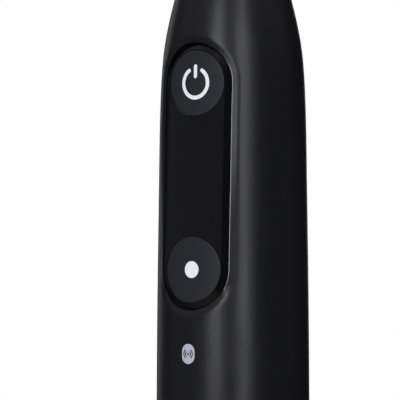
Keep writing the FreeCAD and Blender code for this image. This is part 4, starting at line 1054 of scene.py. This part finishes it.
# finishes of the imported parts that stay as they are
keptFinishes = {
    "steel": ["charger_screws", "keeper_ring", "battery_tabs", "motor_frame", "end_plates",
              "leaf_springs", "yoke", "rod_clip"],
    "ferrite": ["charger_core", "stator_cores"],
    "copper": ["charger_coil", "charge_coil", "stator_coils"],
    "board": ["charger_board", "key_board", "main_board", "ring_board"],
    "chip": ["charger_parts", "key_switches", "board_chips"],
    "magnet": ["hold_magnet", "yoke_magnets"],
    "charger": ["charger_base"],
    "seal": ["lens_gasket", "stem_seals", "base_seal"],
    "ring": ["light_guide", "mode_lamps"],
    "acetal": ["coil_bobbin", "shaft_bush", "power_plunger", "mode_plunger", "push_rod"],
    "cell": ["battery"],
    "frameGrey": ["chassis"],
    "shaft": ["drive_shaft", "axle_pin"],
    "headGrey": ["head_insert"],
}
for finish, nodes in keptFinishes.items():
    for node in nodes:
        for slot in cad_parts[node].material_slots:
            slot.material = materials[finish]
print("kept parts finished")

# camera, light and floor
studio = {
    "view": 36.0, "aimZ": 101.85, "aimLeft": 6.35, "frameWide": 76.9, "lens": 300.0, "sensor": 36.0,
    "floorRadius": 0.42,
    # azimuth, distance, height of centre, width, length, radiance
    "strips": [(8.5, 0.8, 0.33, 0.055, 0.62, 17.2), (51.0, 0.8, 0.33, 0.05, 0.62, 16.8)],
    "fills": [(-42.0, 0.9, 0.38, 1.2, 0.9, 0.155), (-108.0, 0.9, 0.38, 0.9, 0.9, 0.025),
              (120.0, 0.9, 0.38, 0.9, 0.9, 0.07), (203.0, 0.9, 0.38, 0.1, 0.7, 1.2),
              (247.0, 0.9, 0.38, 0.1, 0.7, 1.2)],
    "top": (0.95, 0.8, 2.4),
    "tint": (0.955, 0.965, 1.06), "roomLight": 0.02, "roomEnds": 0.26,
}


def direction(azimuth):
    turn = math.radians(azimuth)
    return np.array([math.sin(turn), -math.cos(turn), 0.0])


def addPanel(name, place, aim, width, length, radiance):
    lamp = bpy.data.lights.new(name, "AREA")
    lamp.shape, lamp.size, lamp.size_y = "RECTANGLE", width, length
    lamp.energy = radiance * math.pi * width * length
    lamp.color = studio["tint"]
    softbox = inScene(name, lamp)
    softbox.location = place
    towards = Vector(aim) - Vector(place)
    softbox.rotation_euler = towards.to_track_quat("-Z", "Y").to_euler()
    softbox.visible_camera = False


def buildStudio():
    boxes = studio["strips"] + studio["fills"]
    for number, (azimuth, away, height, width, length, radiance) in enumerate(boxes):
        place = direction(azimuth) * away + [0, 0, height]
        addPanel("softbox%d" % number, place, (0, 0, height), width, length, radiance)
    height, size, radiance = studio["top"]
    addPanel("overhead", (0, 0, height), (0, 0, 0), size, size, radiance)

    view = math.radians(studio["view"])
    right = np.array([math.cos(view), math.sin(view), 0])
    aim = -right * studio["aimLeft"] * mm + [0, 0, (footZ + studio["aimZ"]) * mm]
    away = studio["frameWide"] * mm * studio["lens"] / studio["sensor"]
    camera = bpy.data.cameras.new("camera")
    camera.lens, camera.sensor_width = studio["lens"], studio["sensor"]
    camera.clip_start = 0.01
    seat = inScene("camera", camera)
    seat.location = aim + direction(studio["view"]) * away
    seat.rotation_euler = (math.pi / 2, 0, view)
    bpy.context.scene.camera = seat

    # a pale disc that fades into the white room at its edge
    shader = Shader("paleFloor")
    out = shader.node("ShaderNodeVectorMath", {"operation": "LENGTH"}, [shader.place], "Value")
    fade = shader.ramp(out, studio["floorRadius"] * 0.55, studio["floorRadius"])
    mottle = shader.noise(30.0, 3.0)
    shader.feed("Base Color", shader.blend(mottle, rgb(0.8, 0.8, 0.8), rgb(0.83, 0.83, 0.83)))
    shader.feed("Roughness", 0.7)
    shader.feed("Alpha", 1 - fade)
    radius = studio["floorRadius"]
    rows = np.array([[0, 0], [radius / 2, 0], [radius, 0]]) / mm
    floor = inScene("floor", meshFrom("floor", [turned(rows)]))
    floor.data.materials.append(shader.material)
    floor.visible_glossy = False

    # the camera sees a white room; everything else sees a dim one, a little lighter up and down
    world = bpy.data.worlds.new("room")
    bpy.context.scene.world = world
    world.use_nodes = True
    world.node_tree.nodes.clear()
    room = NodeTree(world.node_tree)
    way = room.node("ShaderNodeSeparateXYZ", sockets=[room.node("ShaderNodeTexCoord", output="Generated")],
                    output="Z")
    ends = room.ramp(way.sum("ABSOLUTE"), 0.3, 0.62)
    glow = ends * studio["roomEnds"] + studio["roomLight"]
    dim = room.node("ShaderNodeBackground", sockets={"Strength": glow})
    white = room.node("ShaderNodeBackground", sockets={"Color": rgb(1, 1, 1), "Strength": 1.0})
    seen = room.node("ShaderNodeLightPath", output="Is Camera Ray")
    room.node("ShaderNodeOutputWorld", sockets=[room.node("ShaderNodeMixShader", sockets=[seen, dim, white])],
              output=None)
    bpy.context.scene.view_settings.view_transform = "Standard"


buildStudio()
print("studio done")
